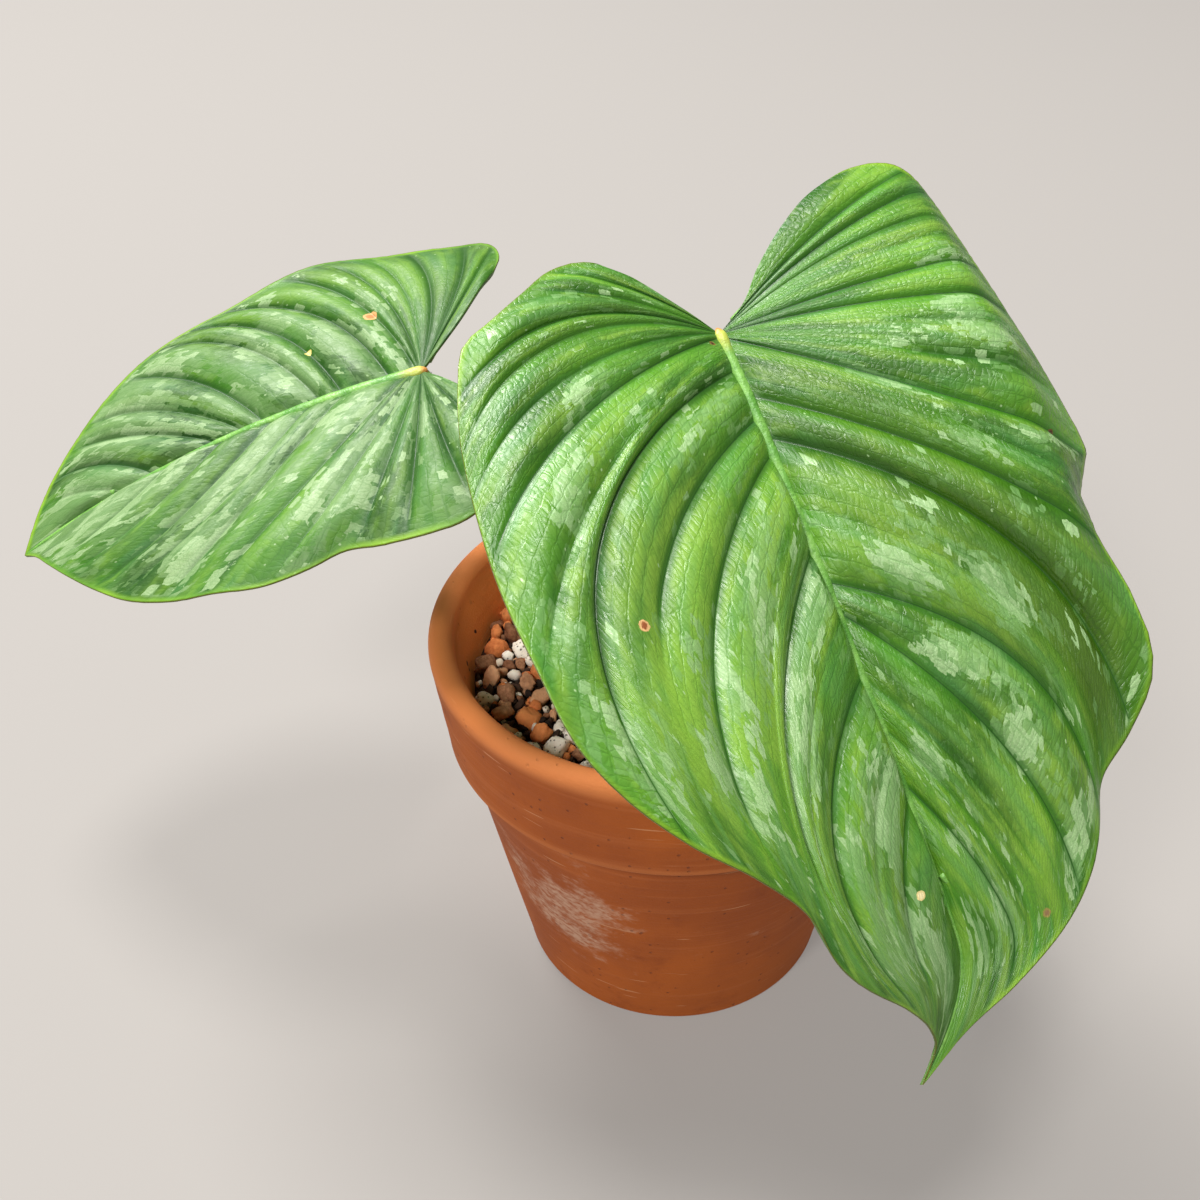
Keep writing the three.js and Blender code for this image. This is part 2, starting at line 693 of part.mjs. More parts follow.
// Short stem with plain sockets for the stalks, and the sheath grown from it
function stem() {
  let solid = toSolid(stemBody()).add(toSolid(sheath()));
  for (const [route, radiusAt] of [[largeRoute, largeStalkRadius], [smallRoute, smallStalkRadius]]) {
    const socket = tube(route, (share) => radiusAt(share) + fitGap, stalkSteps, stalkSides, fitGap);
    solid = solid.subtract(toSolid(socket));
  }
  return toGeometry(solid);
}

// Assembly
const plant = new THREE.Group();
const standing = new THREE.Group();
standing.position.copy(axisFromMiddle);
plant.add(standing);

function addPiece(name, geometry, finish) {
  const piece = new THREE.Mesh(geometry, new THREE.MeshStandardMaterial(finishes[finish]));
  piece.name = name;
  standing.add(piece);
}

addPiece("pot", turned(potProfile(), potSides), "clay");
addPiece("potting_mix", pottingMix(), "mix");
addPiece("stem", stem(), "stem");
addPiece("leaf_large_stalk", stalk(largeRoute, largeStalkRadius), "stalk");
addPiece("leaf_large_blade", leafBlade(largeLeaf), "blade");
addPiece("leaf_small_stalk", stalk(smallRoute, smallStalkRadius), "stalk");
addPiece("leaf_small_blade", leafBlade(smallLeaf), "blade");

export default plant;
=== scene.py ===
"""The looks of a potted philodendron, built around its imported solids. Metres, +Z up, the front faces -Y.

Shapes are worked out in millimetres from the pot's axis and placed by AXIS.
"""

import math

import bmesh
import bpy
import numpy as np
from mathutils import Matrix, Quaternion, Vector


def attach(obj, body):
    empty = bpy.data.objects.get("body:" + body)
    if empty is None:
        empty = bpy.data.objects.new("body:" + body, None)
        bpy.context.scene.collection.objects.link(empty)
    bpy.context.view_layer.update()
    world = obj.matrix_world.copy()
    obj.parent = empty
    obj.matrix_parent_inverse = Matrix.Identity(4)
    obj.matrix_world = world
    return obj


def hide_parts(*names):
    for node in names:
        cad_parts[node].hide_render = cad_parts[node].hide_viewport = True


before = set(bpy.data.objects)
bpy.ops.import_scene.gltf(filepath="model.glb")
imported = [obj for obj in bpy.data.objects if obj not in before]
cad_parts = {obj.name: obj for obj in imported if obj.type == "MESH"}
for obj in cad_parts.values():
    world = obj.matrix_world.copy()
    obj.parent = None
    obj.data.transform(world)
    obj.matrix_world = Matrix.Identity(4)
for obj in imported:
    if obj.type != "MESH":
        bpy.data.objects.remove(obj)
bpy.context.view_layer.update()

MM = 0.001
AXIS = np.array([34.0, 22.0, 0.0])

# Pot, potting mix and stem, as in the solids
POT_HEIGHT = 114.0
RIM_RADIUS = 65.0
RIM_HEIGHT = 32.0
RIM_FOOT_RADIUS = 62.2
BODY_TOP_RADIUS = 58.6
BASE_RADIUS = 44.4
LIP_THICKNESS = 6.6
WALL_THICKNESS = 5.0
FLOOR_THICKNESS = 7.0
DRAIN_RADIUS = 7.0
MIX_TOP = 97.0
MIX_SLOPE = 2.5
STEM_AT = (3.0, 10.0)
STEM_RADIUS = 7.5
STEM_FOOT = 66.0
STEM_TOP = 119.0

# The leaves' flat shapes and poses, as in the solids. Only quilt, how high the puffs are for their width, is
# larger, so that they catch the light as in the photograph. An outline runs from the stalk to the tip, along
# the midrib and out from it. A vein is where it leaves the midrib, where it meets the margin, its bow, the
# depth of its crease, and where the crease starts and fades. A fold is its place along the midrib and its
# angle, a wave its share of the margin, height and spread. A zone of silver, warm or dusky colour is its
# vein, its share of the vein's length, its reach in veins and in shares, and its strength.
LARGE_LEFT = dict(
    side=-1, back=150, rise=18, arch=0.38,
    outline=[
        (0, 0), (-8, 10), (-15, 19), (-20, 28), (-19, 37), (-14, 46), (-9, 55), (-4, 64), (4, 68), (16, 72),
        (32, 75), (50, 77), (66, 76.5), (80, 75), (92, 69.5), (103, 61), (114, 49.5), (124, 41.5),
        (135, 38), (144, 32), (152, 23), (160, 12), (166, 4), (172, 0),
    ],
    veins=[
        (0, 44, 0.11, 0.8, 0, 0.9), (0, 54, 0.1, 0.8, 0, 0.75), (0, 88, 0.3, 1, 0, 1),
        (0, 101, 0.33, 0.9, 0, 0.95), (0, 111, 0.23, 0.9, 0, 0.95), (1, 125, 0.17, 1, 0, 0.9),
        (5, 150, 0.18, 0.7, 0.3, 0.85), (10, 189, 0.46, 1.1, 0, 0.95), (23, 201, 0.41, 1, 0, 0.45),
        (32, 213, 0.34, 1.1, 0, 0.75), (44, 231, 0.26, 0.3, 0.15, 0.6), (56, 243, 0.37, 1, 0, 0.6),
        (71, 249, 0.46, 0.3, 0.1, 0.6), (86, 255, 0.53, 1.1, 0, 0.95), (100, 261, 0.47, 0.4, 0.05, 0.6),
        (114, 267, 0.41, 0.9, 0, 0.7), (136, 273, 0.3, 0.4, 0, 0.6),
    ],
    folds=[],
    waves=[(0.1, 2, 0.06), (0.5, 2, 0.08), (0.82, -1.5, 0.03)],
    silver=[
        (12.3, 0.09, 0.4, 0.07, 1.3), (12.45, 0.26, 0.5, 0.08, 1.1), (12.8, 0.38, 0.5, 0.07, 0.9),
        (15.1, 0.2, 0.5, 0.13, 1.3), (16.7, 0.57, 0.9, 0.2, 1.0), (10.6, 0.28, 0.35, 0.14, 0.8),
        (10.2, 0.5, 0.35, 0.1, 0.7), (8.2, 0.84, 0.6, 0.08, 0.8), (10.1, 0.75, 0.7, 0.08, 0.8),
        (14.2, 0.47, 0.5, 0.12, 0.6), (8.4, 0.2, 0.4, 0.08, 0.5), (6.5, 0.6, 0.45, 0.08, 0.8),
        (5.4, 0.44, 0.35, 0.09, 0.6), (6.6, 0.3, 0.4, 0.07, 0.6), (8.45, 0.07, 0.3, 0.05, 0.6),
        (15, 0.62, 0.5, 0.12, 1.1), (12.3, 0.55, 0.6, 0.14, 0.8), (14, 0.8, 1.5, 0.1, 0.6),
    ],
    warm=[
        (9.4, 0.4, 1.2, 0.3, 1.0), (11, 0.35, 1.6, 0.35, 0.9), (6.5, 0.45, 0.8, 0.2, 0.6),
        (12.5, 0.6, 1.2, 0.3, 0.9), (15, 0.6, 1.2, 0.4, 1.0), (9, 0.75, 1.5, 0.2, 0.7),
    ],
    dusky=[(3.3, 0.45, 1.4, 0.3, 0.35)],
)
LARGE_RIGHT = dict(
    side=1, back=20, rise=22, arch=0.25, fold_from=55, fold_width=11,
    outline=[
        (0, 0), (-5, 8), (-12, 14.5), (-20, 24), (-27, 35), (-31, 47), (-30, 57), (-24, 65), (-13, 70),
        (0, 73), (14, 76), (30, 79), (45, 80), (58, 76), (68, 69), (78, 65.5), (90, 65), (102, 64),
        (110, 61), (118, 54), (126, 46), (135, 39.5), (145, 32.5), (154, 24.5), (161, 14.5), (166, 5),
        (172, 0),
    ],
    veins=[
        (0, 73, 0.06, 1, 0, 0.95), (0, 81, 0.08, 1, 0, 0.95), (0, 90, 0.1, 0.9, 0, 0.9),
        (0, 96, 0.05, 0.4, 0.5, 0.85), (0, 104, 0.01, 1, 0, 0.9), (0, 117, 0.03, 1, 0, 0.95),
        (0, 129, 0.02, 0.5, 0.4, 0.8), (0.5, 141, -0.03, 0.9, 0.35, 0.85), (1, 160, -0.02, 1.1, 0, 0.95),
        (6, 173, 0.04, 0.5, 0.5, 0.85), (17, 184, 0.08, 1.1, 0, 0.95), (28, 229, 0.3, 1.2, 0, 0.9),
        (46, 240, 0.3, 0.35, 0, 0.6), (64, 250, 0.35, 1.1, 0, 0.9), (71, 268, 0.2, 1, 0, 0.9),
        (87, 277, 0.14, 0.6, 0, 0.65), (98, 284, 0.14, 0.8, 0, 0.7), (111, 290, 0.16, 1, 0, 0.85),
        (130, 296, 0.14, 0.4, 0, 0.6),
    ],
    folds=[(-40, 36), (-10, 38), (20, 36), (42, 34), (54, 30), (64, 46), (74, 36), (88, 0)],
    waves=[(0.69, 3, 0.05), (0.79, -3.5, 0.025), (0.85, 1.5, 0.035)],
    silver=[
        (9.2, 0.35, 0.35, 0.11, 0.9), (10.35, 0.53, 0.3, 0.07, 1.0), (9.4, 0.73, 0.3, 0.06, 0.6),
        (4.6, 0.74, 0.6, 0.12, 0.8), (6.5, 0.67, 0.5, 0.1, 0.7), (7.8, 0.4, 0.3, 0.08, 0.9),
        (12.9, 0.46, 0.35, 0.1, 1.0), (13.5, 0.21, 0.3, 0.1, 0.9), (14.45, 0.31, 0.25, 0.08, 1.1),
        (16.7, 0.18, 0.4, 0.07, 1.2), (14.74, 0.54, 0.4, 0.09, 1.0), (14.7, 0.88, 0.8, 0.08, 0.7),
        (18.1, 0.6, 0.6, 0.2, 0.8), (18, 0.3, 0.4, 0.12, 0.6), (7.3, 0.7, 0.4, 0.1, 0.6),
        (2, 0.5, 2.5, 0.6, -0.6), (6, 0.15, 3.0, 0.2, -0.5), (10.5, 0.15, 1.5, 0.2, -0.4),
    ],
    warm=[
        (13.2, 0.35, 0.6, 0.3, 1.0), (14.5, 0.6, 0.6, 0.3, 0.6), (9.2, 0.2, 0.5, 0.15, 0.5),
        (15.8, 0.65, 0.8, 0.3, 0.5), (18, 0.5, 1.2, 0.5, 0.6), (4, 0.65, 1.6, 0.3, 0.6),
        (7.2, 0.6, 0.8, 0.25, 0.6),
    ],
    dusky=[
        (12.5, 0.8, 0.8, 0.2, 1.1), (11.8, 0.45, 1.1, 0.4, 0.8), (13.6, 0.4, 0.25, 0.2, 0.5),
        (10.2, 0.3, 0.8, 0.3, 0.4), (16.4, 0.3, 0.8, 0.3, 0.3), (9.2, 0.8, 0.6, 0.15, 0.4),
    ],
)
LARGE_LEAF = dict(
    at=(9.5, 8, 191.5), length=172, heading=26, turn=7, swing=-20, swing_from=147, pitch=30, droop=26,
    roll=-4, twist=0, tip_rise=22, tip_arch=0.15, rib_height=0.9, rib_depth=2.6, quilt=0.2, puff_limit=14,
    halves=(LARGE_LEFT, LARGE_RIGHT),
)
SMALL_LEFT = dict(
    side=-1, back=20, rise=6.7, arch=0.32,
    outline=[
        (0, 0), (-6, 7), (-12, 16), (-18, 30), (-20, 42), (-15, 52), (-4, 53), (10, 52), (26, 54), (40, 52),
        (54, 48), (68, 45), (79, 41), (90, 34), (101, 25), (111, 16), (118, 8), (124, 0),
    ],
    veins=[
        (0, 54, 0.1, 0.8, 0, 0.9), (0, 65, 0.18, 0.9, 0, 0.9), (0, 80, 0.22, 0.9, 0, 0.9),
        (0, 92, 0.21, 0.6, 0, 0.8), (0, 103, 0.19, 0.7, 0, 0.8), (1, 114, 0.18, 0.9, 0, 0.9),
        (8, 132, 0.26, 1.1, 0, 0.9), (21, 142, 0.25, 1.1, 0, 0.9), (27, 151, 0.22, 0.8, 0, 0.9),
        (43, 163, 0.17, 1, 0, 0.85), (49, 178, 0.15, 0.9, 0, 0.85), (57, 187, 0.12, 0.9, 0, 0.8),
        (77, 196, 0.2, 1, 0, 0.85), (88, 204, 0.13, 0.6, 0, 0.7),
    ],
    folds=[],
    waves=[(0.3, -1.5, 0.06), (0.5, 1.5, 0.06)],
    silver=[
        (10.3, 0.14, 0.4, 0.12, 1.2), (9, 0.14, 0.4, 0.08, 1.1), (7.9, 0.53, 0.4, 0.08, 1.1),
        (7.35, 0.26, 0.5, 0.13, 1.1), (5.6, 0.47, 0.3, 0.06, 1.0), (10.1, 0.77, 0.9, 0.14, 0.9),
        (12, 0.6, 1.0, 0.25, 0.9), (14.2, 0.4, 0.9, 0.4, 0.9), (9, 0.4, 0.5, 0.15, 0.7),
        (2, 0.5, 1.6, 0.5, -0.6), (4, 0.85, 1.5, 0.2, -0.4),
    ],
    warm=[(4, 0.6, 3.0, 0.3, 1.0), (8, 0.75, 2.5, 0.15, 0.8)],
    dusky=[(9.6, 0.1, 0.3, 0.15, 0.7), (12, 0.08, 1.5, 0.08, 0.6)],
)
SMALL_RIGHT = dict(
    side=1, back=20, rise=5.8, arch=0.33,
    outline=[
        (0, 0), (-7, 7), (-15, 17), (-21, 30), (-20, 43), (-12, 51), (-1, 53), (10, 52.5), (20, 51),
        (30, 54), (42, 55.5), (56, 52), (69, 48), (81, 42), (92, 33), (103, 22), (112, 12), (119, 4),
        (124, 0),
    ],
    veins=[
        (0, 45, 0, 0.6, 0, 0.8), (0, 60, -0.04, 0.8, 0, 0.8), (0, 79, 0.07, 1, 0, 0.85),
        (0, 92, 0.1, 0.8, 0, 0.85), (1, 115, 0.14, 0.7, 0, 0.8), (3, 133, 0.1, 0.8, 0, 0.8),
        (20, 146, 0.11, 0.8, 0, 0.8), (29, 163, 0.21, 0.7, 0, 0.85), (40, 174, 0.23, 0.9, 0, 0.85),
        (53, 188, 0.23, 0.7, 0, 0.8), (70, 200, 0.2, 0.8, 0, 0.7), (92, 209, 0.16, 0.5, 0, 0.6),
    ],
    folds=[],
    waves=[(0.42, -1.5, 0.05), (0.56, 2, 0.06)],
    silver=[
        (8.1, 0.38, 0.7, 0.13, 1.2), (8.3, 0.15, 0.5, 0.1, 1.2), (11, 0.25, 0.9, 0.3, 1.0),
        (7.4, 0.67, 0.5, 0.14, 0.9), (5, 0.4, 0.5, 0.12, 1.1), (4.6, 0.65, 0.5, 0.07, 1.0),
        (6.7, 0.16, 0.5, 0.1, 0.8), (12.2, 0.6, 0.8, 0.3, 0.8), (2.9, 0.3, 0.5, 0.12, 0.5),
    ],
    warm=[(5.5, 0.6, 1.5, 0.2, 0.6)],
    dusky=[(1.2, 0.5, 0.8, 0.4, 0.3)],
)
SMALL_LEAF = dict(
    at=(-63.1, 15.6, 177.4), length=124, heading=-86.4, turn=1.1, swing=0, swing_from=100, pitch=14.8,
    droop=20.2, roll=-12, twist=-6.6, tip_rise=12, tip_arch=0.2, rib_height=0.7, rib_depth=2, quilt=0.24,
    puff_limit=12, halves=(SMALL_LEFT, SMALL_RIGHT),
)

# How a sheet follows from them, as in the solids
SUM_STEPS = 24
LINES_PER_VEIN = 4
SINUS_SHARE = 0.72
FLATTEN_FROM = 0.72
FADE_FROM = 0.72
FADE_DEPTH = 0.92
VEIN_BEND_AT = 0.6
FOLD_REACH, FOLD_POWER = 0.2, 1.2
DIP_REACH, DIP_POWER = 0.42, 1.6
FOLD_DEPTH = 0.5
CREASE_START = 0.15
CREASE_FADE = 0.25
MIDDLES = (np.arange(SUM_STEPS) + 0.5) / SUM_STEPS


def smooth(value):
    x = np.clip(value, 0, 1)
    return x * x * (3 - 2 * x)


def mix(a, b, share):
    return a + (b - a) * share


def bell(value, middle, width):
    return np.exp(-(((value - middle) / width) ** 2))


def unit(vectors):
    return vectors / np.linalg.norm(vectors, axis=-1, keepdims=True)


def circle(count):
    return np.linspace(0, 2 * np.pi, count, endpoint=False)


def ring(radius, angle, height):
    return np.stack([radius * np.cos(angle), radius * np.sin(angle), height + 0 * angle], -1)


def linear(red, green, blue):
    """A colour as seen on a screen, 0 to 255, turned to the renderer's own scale."""
    parts = [c / 255 for c in (red, green, blue)]
    return tuple(c / 12.92 if c <= 0.04045 else ((c + 0.055) / 1.055) ** 2.4 for c in parts) + (1.0,)


def soft_noise(x, y, seed, size=64):
    """Smooth noise from -1 to 1 over a plane, the same each run."""
    table = np.random.default_rng(seed).uniform(-1, 1, (size, size))
    x, y = np.asarray(x, float), np.asarray(y, float)
    i, j = np.floor(x).astype(int), np.floor(y).astype(int)
    u, v = smooth(x - i), smooth(y - j)

    def row(at):
        return mix(table[i % size, at % size], table[(i + 1) % size, at % size], u)

    return mix(row(j), row(j + 1), v)


def curve_through(points, count, power=0.0):
    """Points along a smooth curve through the given ones, count from each to the next. Steps count by their
    length to twice the power: by its root they make no loops, and by 0 all are alike."""
    p = np.array(points, float)
    p = np.vstack([2 * p[0] - p[1], p, 2 * p[-1] - p[-2]])
    t = np.linspace(0, 1, count, endpoint=False)[:, None]
    parts = []
    for i in range(1, len(p) - 2):
        p0, p1, p2, p3 = p[i - 1 : i + 3]
        d = [max(np.sum((b - a) ** 2) ** power, 1e-4) for a, b in ((p0, p1), (p1, p2), (p2, p3))]
        t1 = ((p1 - p0) / d[0] - (p2 - p0) / (d[0] + d[1]) + (p2 - p1) / d[1]) * d[1]
        t2 = ((p2 - p1) / d[1] - (p3 - p1) / (d[1] + d[2]) + (p3 - p2) / d[2]) * d[1]
        cubic = 2 * (p1 - p2) + t1 + t2
        parts.append(p1 + t1 * t + (3 * (p2 - p1) - 2 * t1 - t2) * t**2 + cubic * t**3)
    return np.vstack(parts + [p[-2:-1]])


class Outline:
    """A smooth curve through a half leaf's outline, read by its length along it."""

    def __init__(self, pairs):
        self.points = curve_through(pairs, 60, 0.25)
        steps = np.linalg.norm(np.diff(self.points, axis=0), axis=1)
        self.arc = np.concatenate([[0], np.cumsum(steps)])
        self.total = self.arc[-1]

    def at(self, arc):
        return np.stack([np.interp(arc, self.arc, self.points[:, k]) for k in (0, 1)], -1)


class Leaf:
    """A leaf's sheet in space and its flat pattern of vein lines. Both are those of the solids."""

    def __init__(self, spec):
        self.__dict__.update(spec)
        self.halves = [dict(half, curve=Outline(half["outline"])) for half in self.halves]

    def vein_values(self, half, vein):
        """Each value of the veins' rows, the first row's before the first vein and so on."""
        veins = np.array(half["veins"])
        return np.moveaxis(veins[np.clip(vein, 1, len(veins)) - 1], -1, 0)

    def vein_point(self, half, vein, share):
        """A place on a vein at a share of its length. Vein 0 is the edge beside the stalk, and the one
        after the last is the tip."""
        along, reach, bow = self.vein_values(half, vein)[:3]
        start = np.stack([along, 0 * along], -1)
        end = half["curve"].at(reach)
        run = end - start
        bend = start + VEIN_BEND_AT * run + np.stack([-run[..., 1], run[..., 0]], -1) * bow[..., None]
        t = share[..., None]
        point = (1 - t) ** 2 * start + 2 * t * (1 - t) * bend + t**2 * end
        beside = half["curve"].at(share * half["veins"][0][1] * SINUS_SHARE)
        point = np.where((vein <= 0)[..., None], beside, point)
        return np.where((vein > len(half["veins"]))[..., None], np.array([self.length, 0.0]), point)

    def flat(self, half, line, share):
        """Where lines and shares lie: place, vein before it, share of the way to the next vein, widths
        of the puffs before, at and after it, and share of the margin that the line ends at."""
        veins, curve = half["veins"], half["curve"]
        vein = np.minimum(np.floor(line / LINES_PER_VEIN + 1e-9).astype(int), len(veins))
        between = np.clip(line / LINES_PER_VEIN - vein, 0, 1)
        lines = [self.vein_point(half, vein + step, share) for step in (-1, 0, 1, 2)]
        widths = [np.linalg.norm(lines[i + 1] - lines[i], axis=-1) for i in range(3)]
        ends = np.array([veins[0][1] * SINUS_SHARE] + [v[1] for v in veins] + [curve.total])
        reach = mix(ends[vein], ends[vein + 1], between)
        far = [self.vein_point(half, vein + step, np.ones_like(share)) for step in (0, 1)]
        place = mix(lines[1], lines[2], between[..., None])
        missing = curve.at(reach) - mix(*far, between[..., None])
        return place + missing * (share**4)[..., None], vein, between, widths, reach / curve.total

    def turns(self, half, along, x):
        """The midrib's pitch and heading at x, on the half of it where along lies."""
        towards = np.where(along < 0, half["back"], self.droop)
        heading = self.heading + self.turn * smooth(x / self.length)
        return np.radians(self.pitch + towards * x / self.length), np.radians(heading)

    def midrib(self, half, along):
        pitch, heading = self.turns(half, along[:, None], along[:, None] * MIDDLES)
        run = [np.cos(pitch) * np.sin(heading), -np.cos(pitch) * np.cos(heading), -np.sin(pitch)]
        middle = np.array(self.at) + np.stack([part.mean(1) for part in run], 1) * along[:, None]
        pitch, heading = self.turns(half, along, along)
        across = np.stack([np.cos(heading), np.sin(heading), 0 * along], 1)
        upright = [np.sin(pitch) * np.sin(heading), -np.sin(pitch) * np.cos(heading), np.cos(pitch)]
        upright = np.stack(upright, 1)
        tilt = np.radians(self.roll + self.twist * along / self.length)[:, None]
        side = across * np.cos(tilt) + upright * np.sin(tilt)
        normal = upright * np.cos(tilt) - across * np.sin(tilt)
        toward_tip = np.maximum(0, (along - self.swing_from) / (self.length - self.swing_from))
        return middle + side * (self.swing * toward_tip**2)[:, None], side, normal

    def rise_angle(self, half, along, out):
        share = np.clip(along / self.length, -0.2, 1)
        angle = mix(half["rise"], self.tip_rise, share) - mix(half["arch"], self.tip_arch, share) * out
        if half["folds"]:
            at, by = zip(*half["folds"])
            angle = angle - np.interp(along, at, by) * smooth((out - half["fold_from"]) / half["fold_width"])
        return np.radians(angle)

    def sheet(self, half, flat, lift):
        """Places in space of flat places, lifted off the sheet."""
        shape = flat.shape[:-1]
        along, out = flat[..., 0].ravel(), np.maximum(flat[..., 1].ravel(), 0)
        lift = np.broadcast_to(lift, shape).ravel()
        middle, side, normal = self.midrib(half, along)
        angle = self.rise_angle(half, along[:, None], out[:, None] * MIDDLES)
        edge = self.rise_angle(half, along, out)
        sideways = half["side"] * (np.cos(angle).mean(1) * out - lift * np.sin(edge))
        up = np.sin(angle).mean(1) * out + lift * np.cos(edge)
        return (middle + side * sideways[:, None] + normal * up[:, None]).reshape(shape + (3,))

    def crease_depth(self, half, vein, share):
        depth, start, fade_at = self.vein_values(half, vein)[3:]
        depth = depth * np.where(start > 0, smooth((share - start) / CREASE_START), 1)
        depth = depth * (1 - smooth((share - fade_at) / CREASE_FADE))
        return np.where((vein < 1) | (vein > len(half["veins"])), 0, depth)

    def puff(self, half, place, vein, between, widths, share, margin_share):
        """Height of the puffed surface over the sheet."""
        limited = [np.minimum(width, self.puff_limit) for width in widths]
        level = mix((limited[0] + limited[1]) / 2, (limited[1] + limited[2]) / 2, between)
        before = self.crease_depth(half, vein, share)
        after = self.crease_depth(half, vein + 1, share)
        away = between * widths[1]

        def sunk(reach, power):
            scale = np.maximum(reach * limited[1], 0.01)
            near = before * np.exp(-((away / scale) ** power))
            far = after * np.exp(-(((widths[1] - away) / scale) ** power))
            return near + far - near * far

        crest = 1 - FOLD_DEPTH * sunk(FOLD_REACH, FOLD_POWER) - (1 - FOLD_DEPTH) * sunk(DIP_REACH, DIP_POWER)
        fade = 1 - FADE_DEPTH * smooth((share - FADE_FROM) / (1 - FADE_FROM))
        near_tip = 1 - smooth((place[..., 0] / self.length - FLATTEN_FROM) / (1 - FLATTEN_FROM))
        height = self.quilt * level * crest * fade * near_tip
        for at, size, spread in half["waves"]:
            height = height + size * bell(margin_share, at, spread) * share**3
        return height


# Pieces
def place(points):
    return (np.asarray(points, float) + AXIS) * MM


def add_piece(name, shape, material, replaces=(), values=None):
    """A mesh piece from points in millimetres and faces. values are numbers or pairs for each point."""
    mesh = bpy.data.meshes.new(name)
    mesh.from_pydata(place(shape[0]).tolist(), [], shape[1])
    for key, value in (values or {}).items():
        value = np.asarray(value, np.float32)
        if value.ndim == 1:
            mesh.attributes.new(key, "FLOAT", "POINT").data.foreach_set("value", value)
        else:
            value = np.pad(value, ((0, 0), (0, 1)))
            mesh.attributes.new(key, "FLOAT_VECTOR", "POINT").data.foreach_set("vector", value.ravel())
    mesh.materials.append(material)
    mesh.polygons.foreach_set("use_smooth", np.ones(len(mesh.polygons), bool))
    mesh.update()
    piece = bpy.data.objects.new(name, mesh)
    bpy.context.scene.collection.objects.link(piece)
    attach(piece, "root")
    for node in replaces:
        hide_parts(node)
    return piece


def join(parts):
    """Several shapes of points and faces as one."""
    points, faces, start = [], [], 0
    for p, f in parts:
        points.append(p)
        faces.extend([[i + start for i in face] for face in f])
        start += len(p)
    return np.concatenate(points), faces


class Paint:
    """A material's nodes, with short ways to add them. Colours with three parts are as seen on a screen."""

    def __init__(self, name, colour=None):
        self.material = bpy.data.materials.new(name)
        self.material.use_nodes = True
        self.tree = self.material.node_tree
        self.tree.nodes.clear()
        self.colour = colour

    def put(self, socket, value):
        if isinstance(value, bpy.types.NodeSocket):
            self.tree.links.new(value, socket)
        elif socket.type == "RGBA" and len(value) == 3:
            socket.default_value = linear(*value)
        else:
            socket.default_value = value

    def add(self, kind, *values, **named):
        """A node. Values fill its first inputs, a name with a capital is an input, another a setting."""
        node = self.tree.nodes.new("ShaderNode" + kind)
        for key in [key for key in named if key.islower()]:
            setattr(node, key, named.pop(key))
        sockets = [*node.inputs[: len(values)], *(node.inputs[key.replace("_", " ")] for key in named)]
        for socket, value in zip(sockets, [*values, *named.values()]):
            self.put(socket, value)
        return node

    def math(self, kind, *values):
        return self.add("Math", *values, operation=kind).outputs[0]

    def times(self, a, b):
        return self.math("MULTIPLY", a, b)

    def space(self, kind, *values, output=0):
        return self.add("VectorMath", *values, operation=kind).outputs[output]

    def step(self, value, low, high, to_low=0.0, to_high=1.0):
        """A soft step: value from low to high becomes to_low to to_high."""
        values = (value, low, high, to_low, to_high)
        return self.add("MapRange", *values, interpolation_type="SMOOTHSTEP").outputs[0]

    def fade(self, value, low, high, strength=1.0):
        return self.step(value, low, high, strength, 0.0)

    def blend(self, factor, a, b, kind="MIX"):
        node = self.add("Mix", factor, data_type="RGBA", blend_type=kind, clamp_factor=True)
        self.put(node.inputs[6], a)
        self.put(node.inputs[7], b)
        return node.outputs[2]

    def lay(self, share, colour):
        """A coat over the colour so far."""
        self.colour = self.blend(share, self.colour, colour)

    def read(self, name, output="Fac"):
        return self.add("Attribute", attribute_name=name).outputs[output]

    def coordinates(self):
        return self.add("TexCoord").outputs["Object"]

    def scaled(self, vector, scale, location=(0, 0, 0), rotation=(0, 0, 0)):
        return self.add("Mapping", vector, location, rotation, scale).outputs[0]

    def noise(self, vector, scale, detail=2.0, roughness=0.5, output=0):
        node = self.add("TexNoise", Vector=vector, Scale=scale, Detail=detail, Roughness=roughness)
        return node.outputs[output]

    def stretched(self, vector, size, detail, offset=(0, 0, 0)):
        """Noise whose waves have the given size across and along."""
        return self.noise(self.scaled(vector, (1 / size[0], 1 / size[1], 1), offset), 1.0, detail)

    def cells(self, vector, scale, randomness=1.0, **settings):
        return self.add("TexVoronoi", Vector=vector, Scale=scale, Randomness=randomness, **settings)

    def walls(self, vector, size, randomness=1.0):
        """How far the walls between flat cells are."""
        vector = self.scaled(vector, (1 / size[0], 1 / size[1], 1))
        settings = dict(feature="DISTANCE_TO_EDGE", voronoi_dimensions="2D")
        return self.cells(vector, 1.0, randomness, **settings).outputs[0]

    def chance(self, cells, channel=0):
        """A random number for each cell."""
        return self.add("SeparateColor", cells.outputs["Color"]).outputs[channel]

    def dots(self, cells, inner, outer, rare, strength=1.0, channel=0):
        """Round dots in the cells whose chance is above rare."""
        chosen = self.step(self.chance(cells, channel), rare, rare + 0.02)
        return self.times(self.step(cells.outputs[0], inner, outer, strength, 0.0), chosen)

    def shifted(self, vector, scale, amount, seed=0.0):
        """A vector pushed about by noise."""
        offset = self.noise(self.scaled(vector, (1, 1, 1), (seed, seed, 0)), scale, output="Color")
        centred = self.space("SUBTRACT", offset, (0.5, 0.5, 0.5))
        return self.space("MULTIPLY_ADD", centred, (amount, amount, amount), vector)

    def bump(self, height, strength, distance):
        return self.add("Bump", Height=height, Strength=strength, Distance=distance).outputs[0]

    def finish(self, roughness, **more):
        shader = self.add("BsdfPrincipled", Base_Color=self.colour, Roughness=roughness, **more)
        self.add("OutputMaterial", shader.outputs[0])
        return self.material


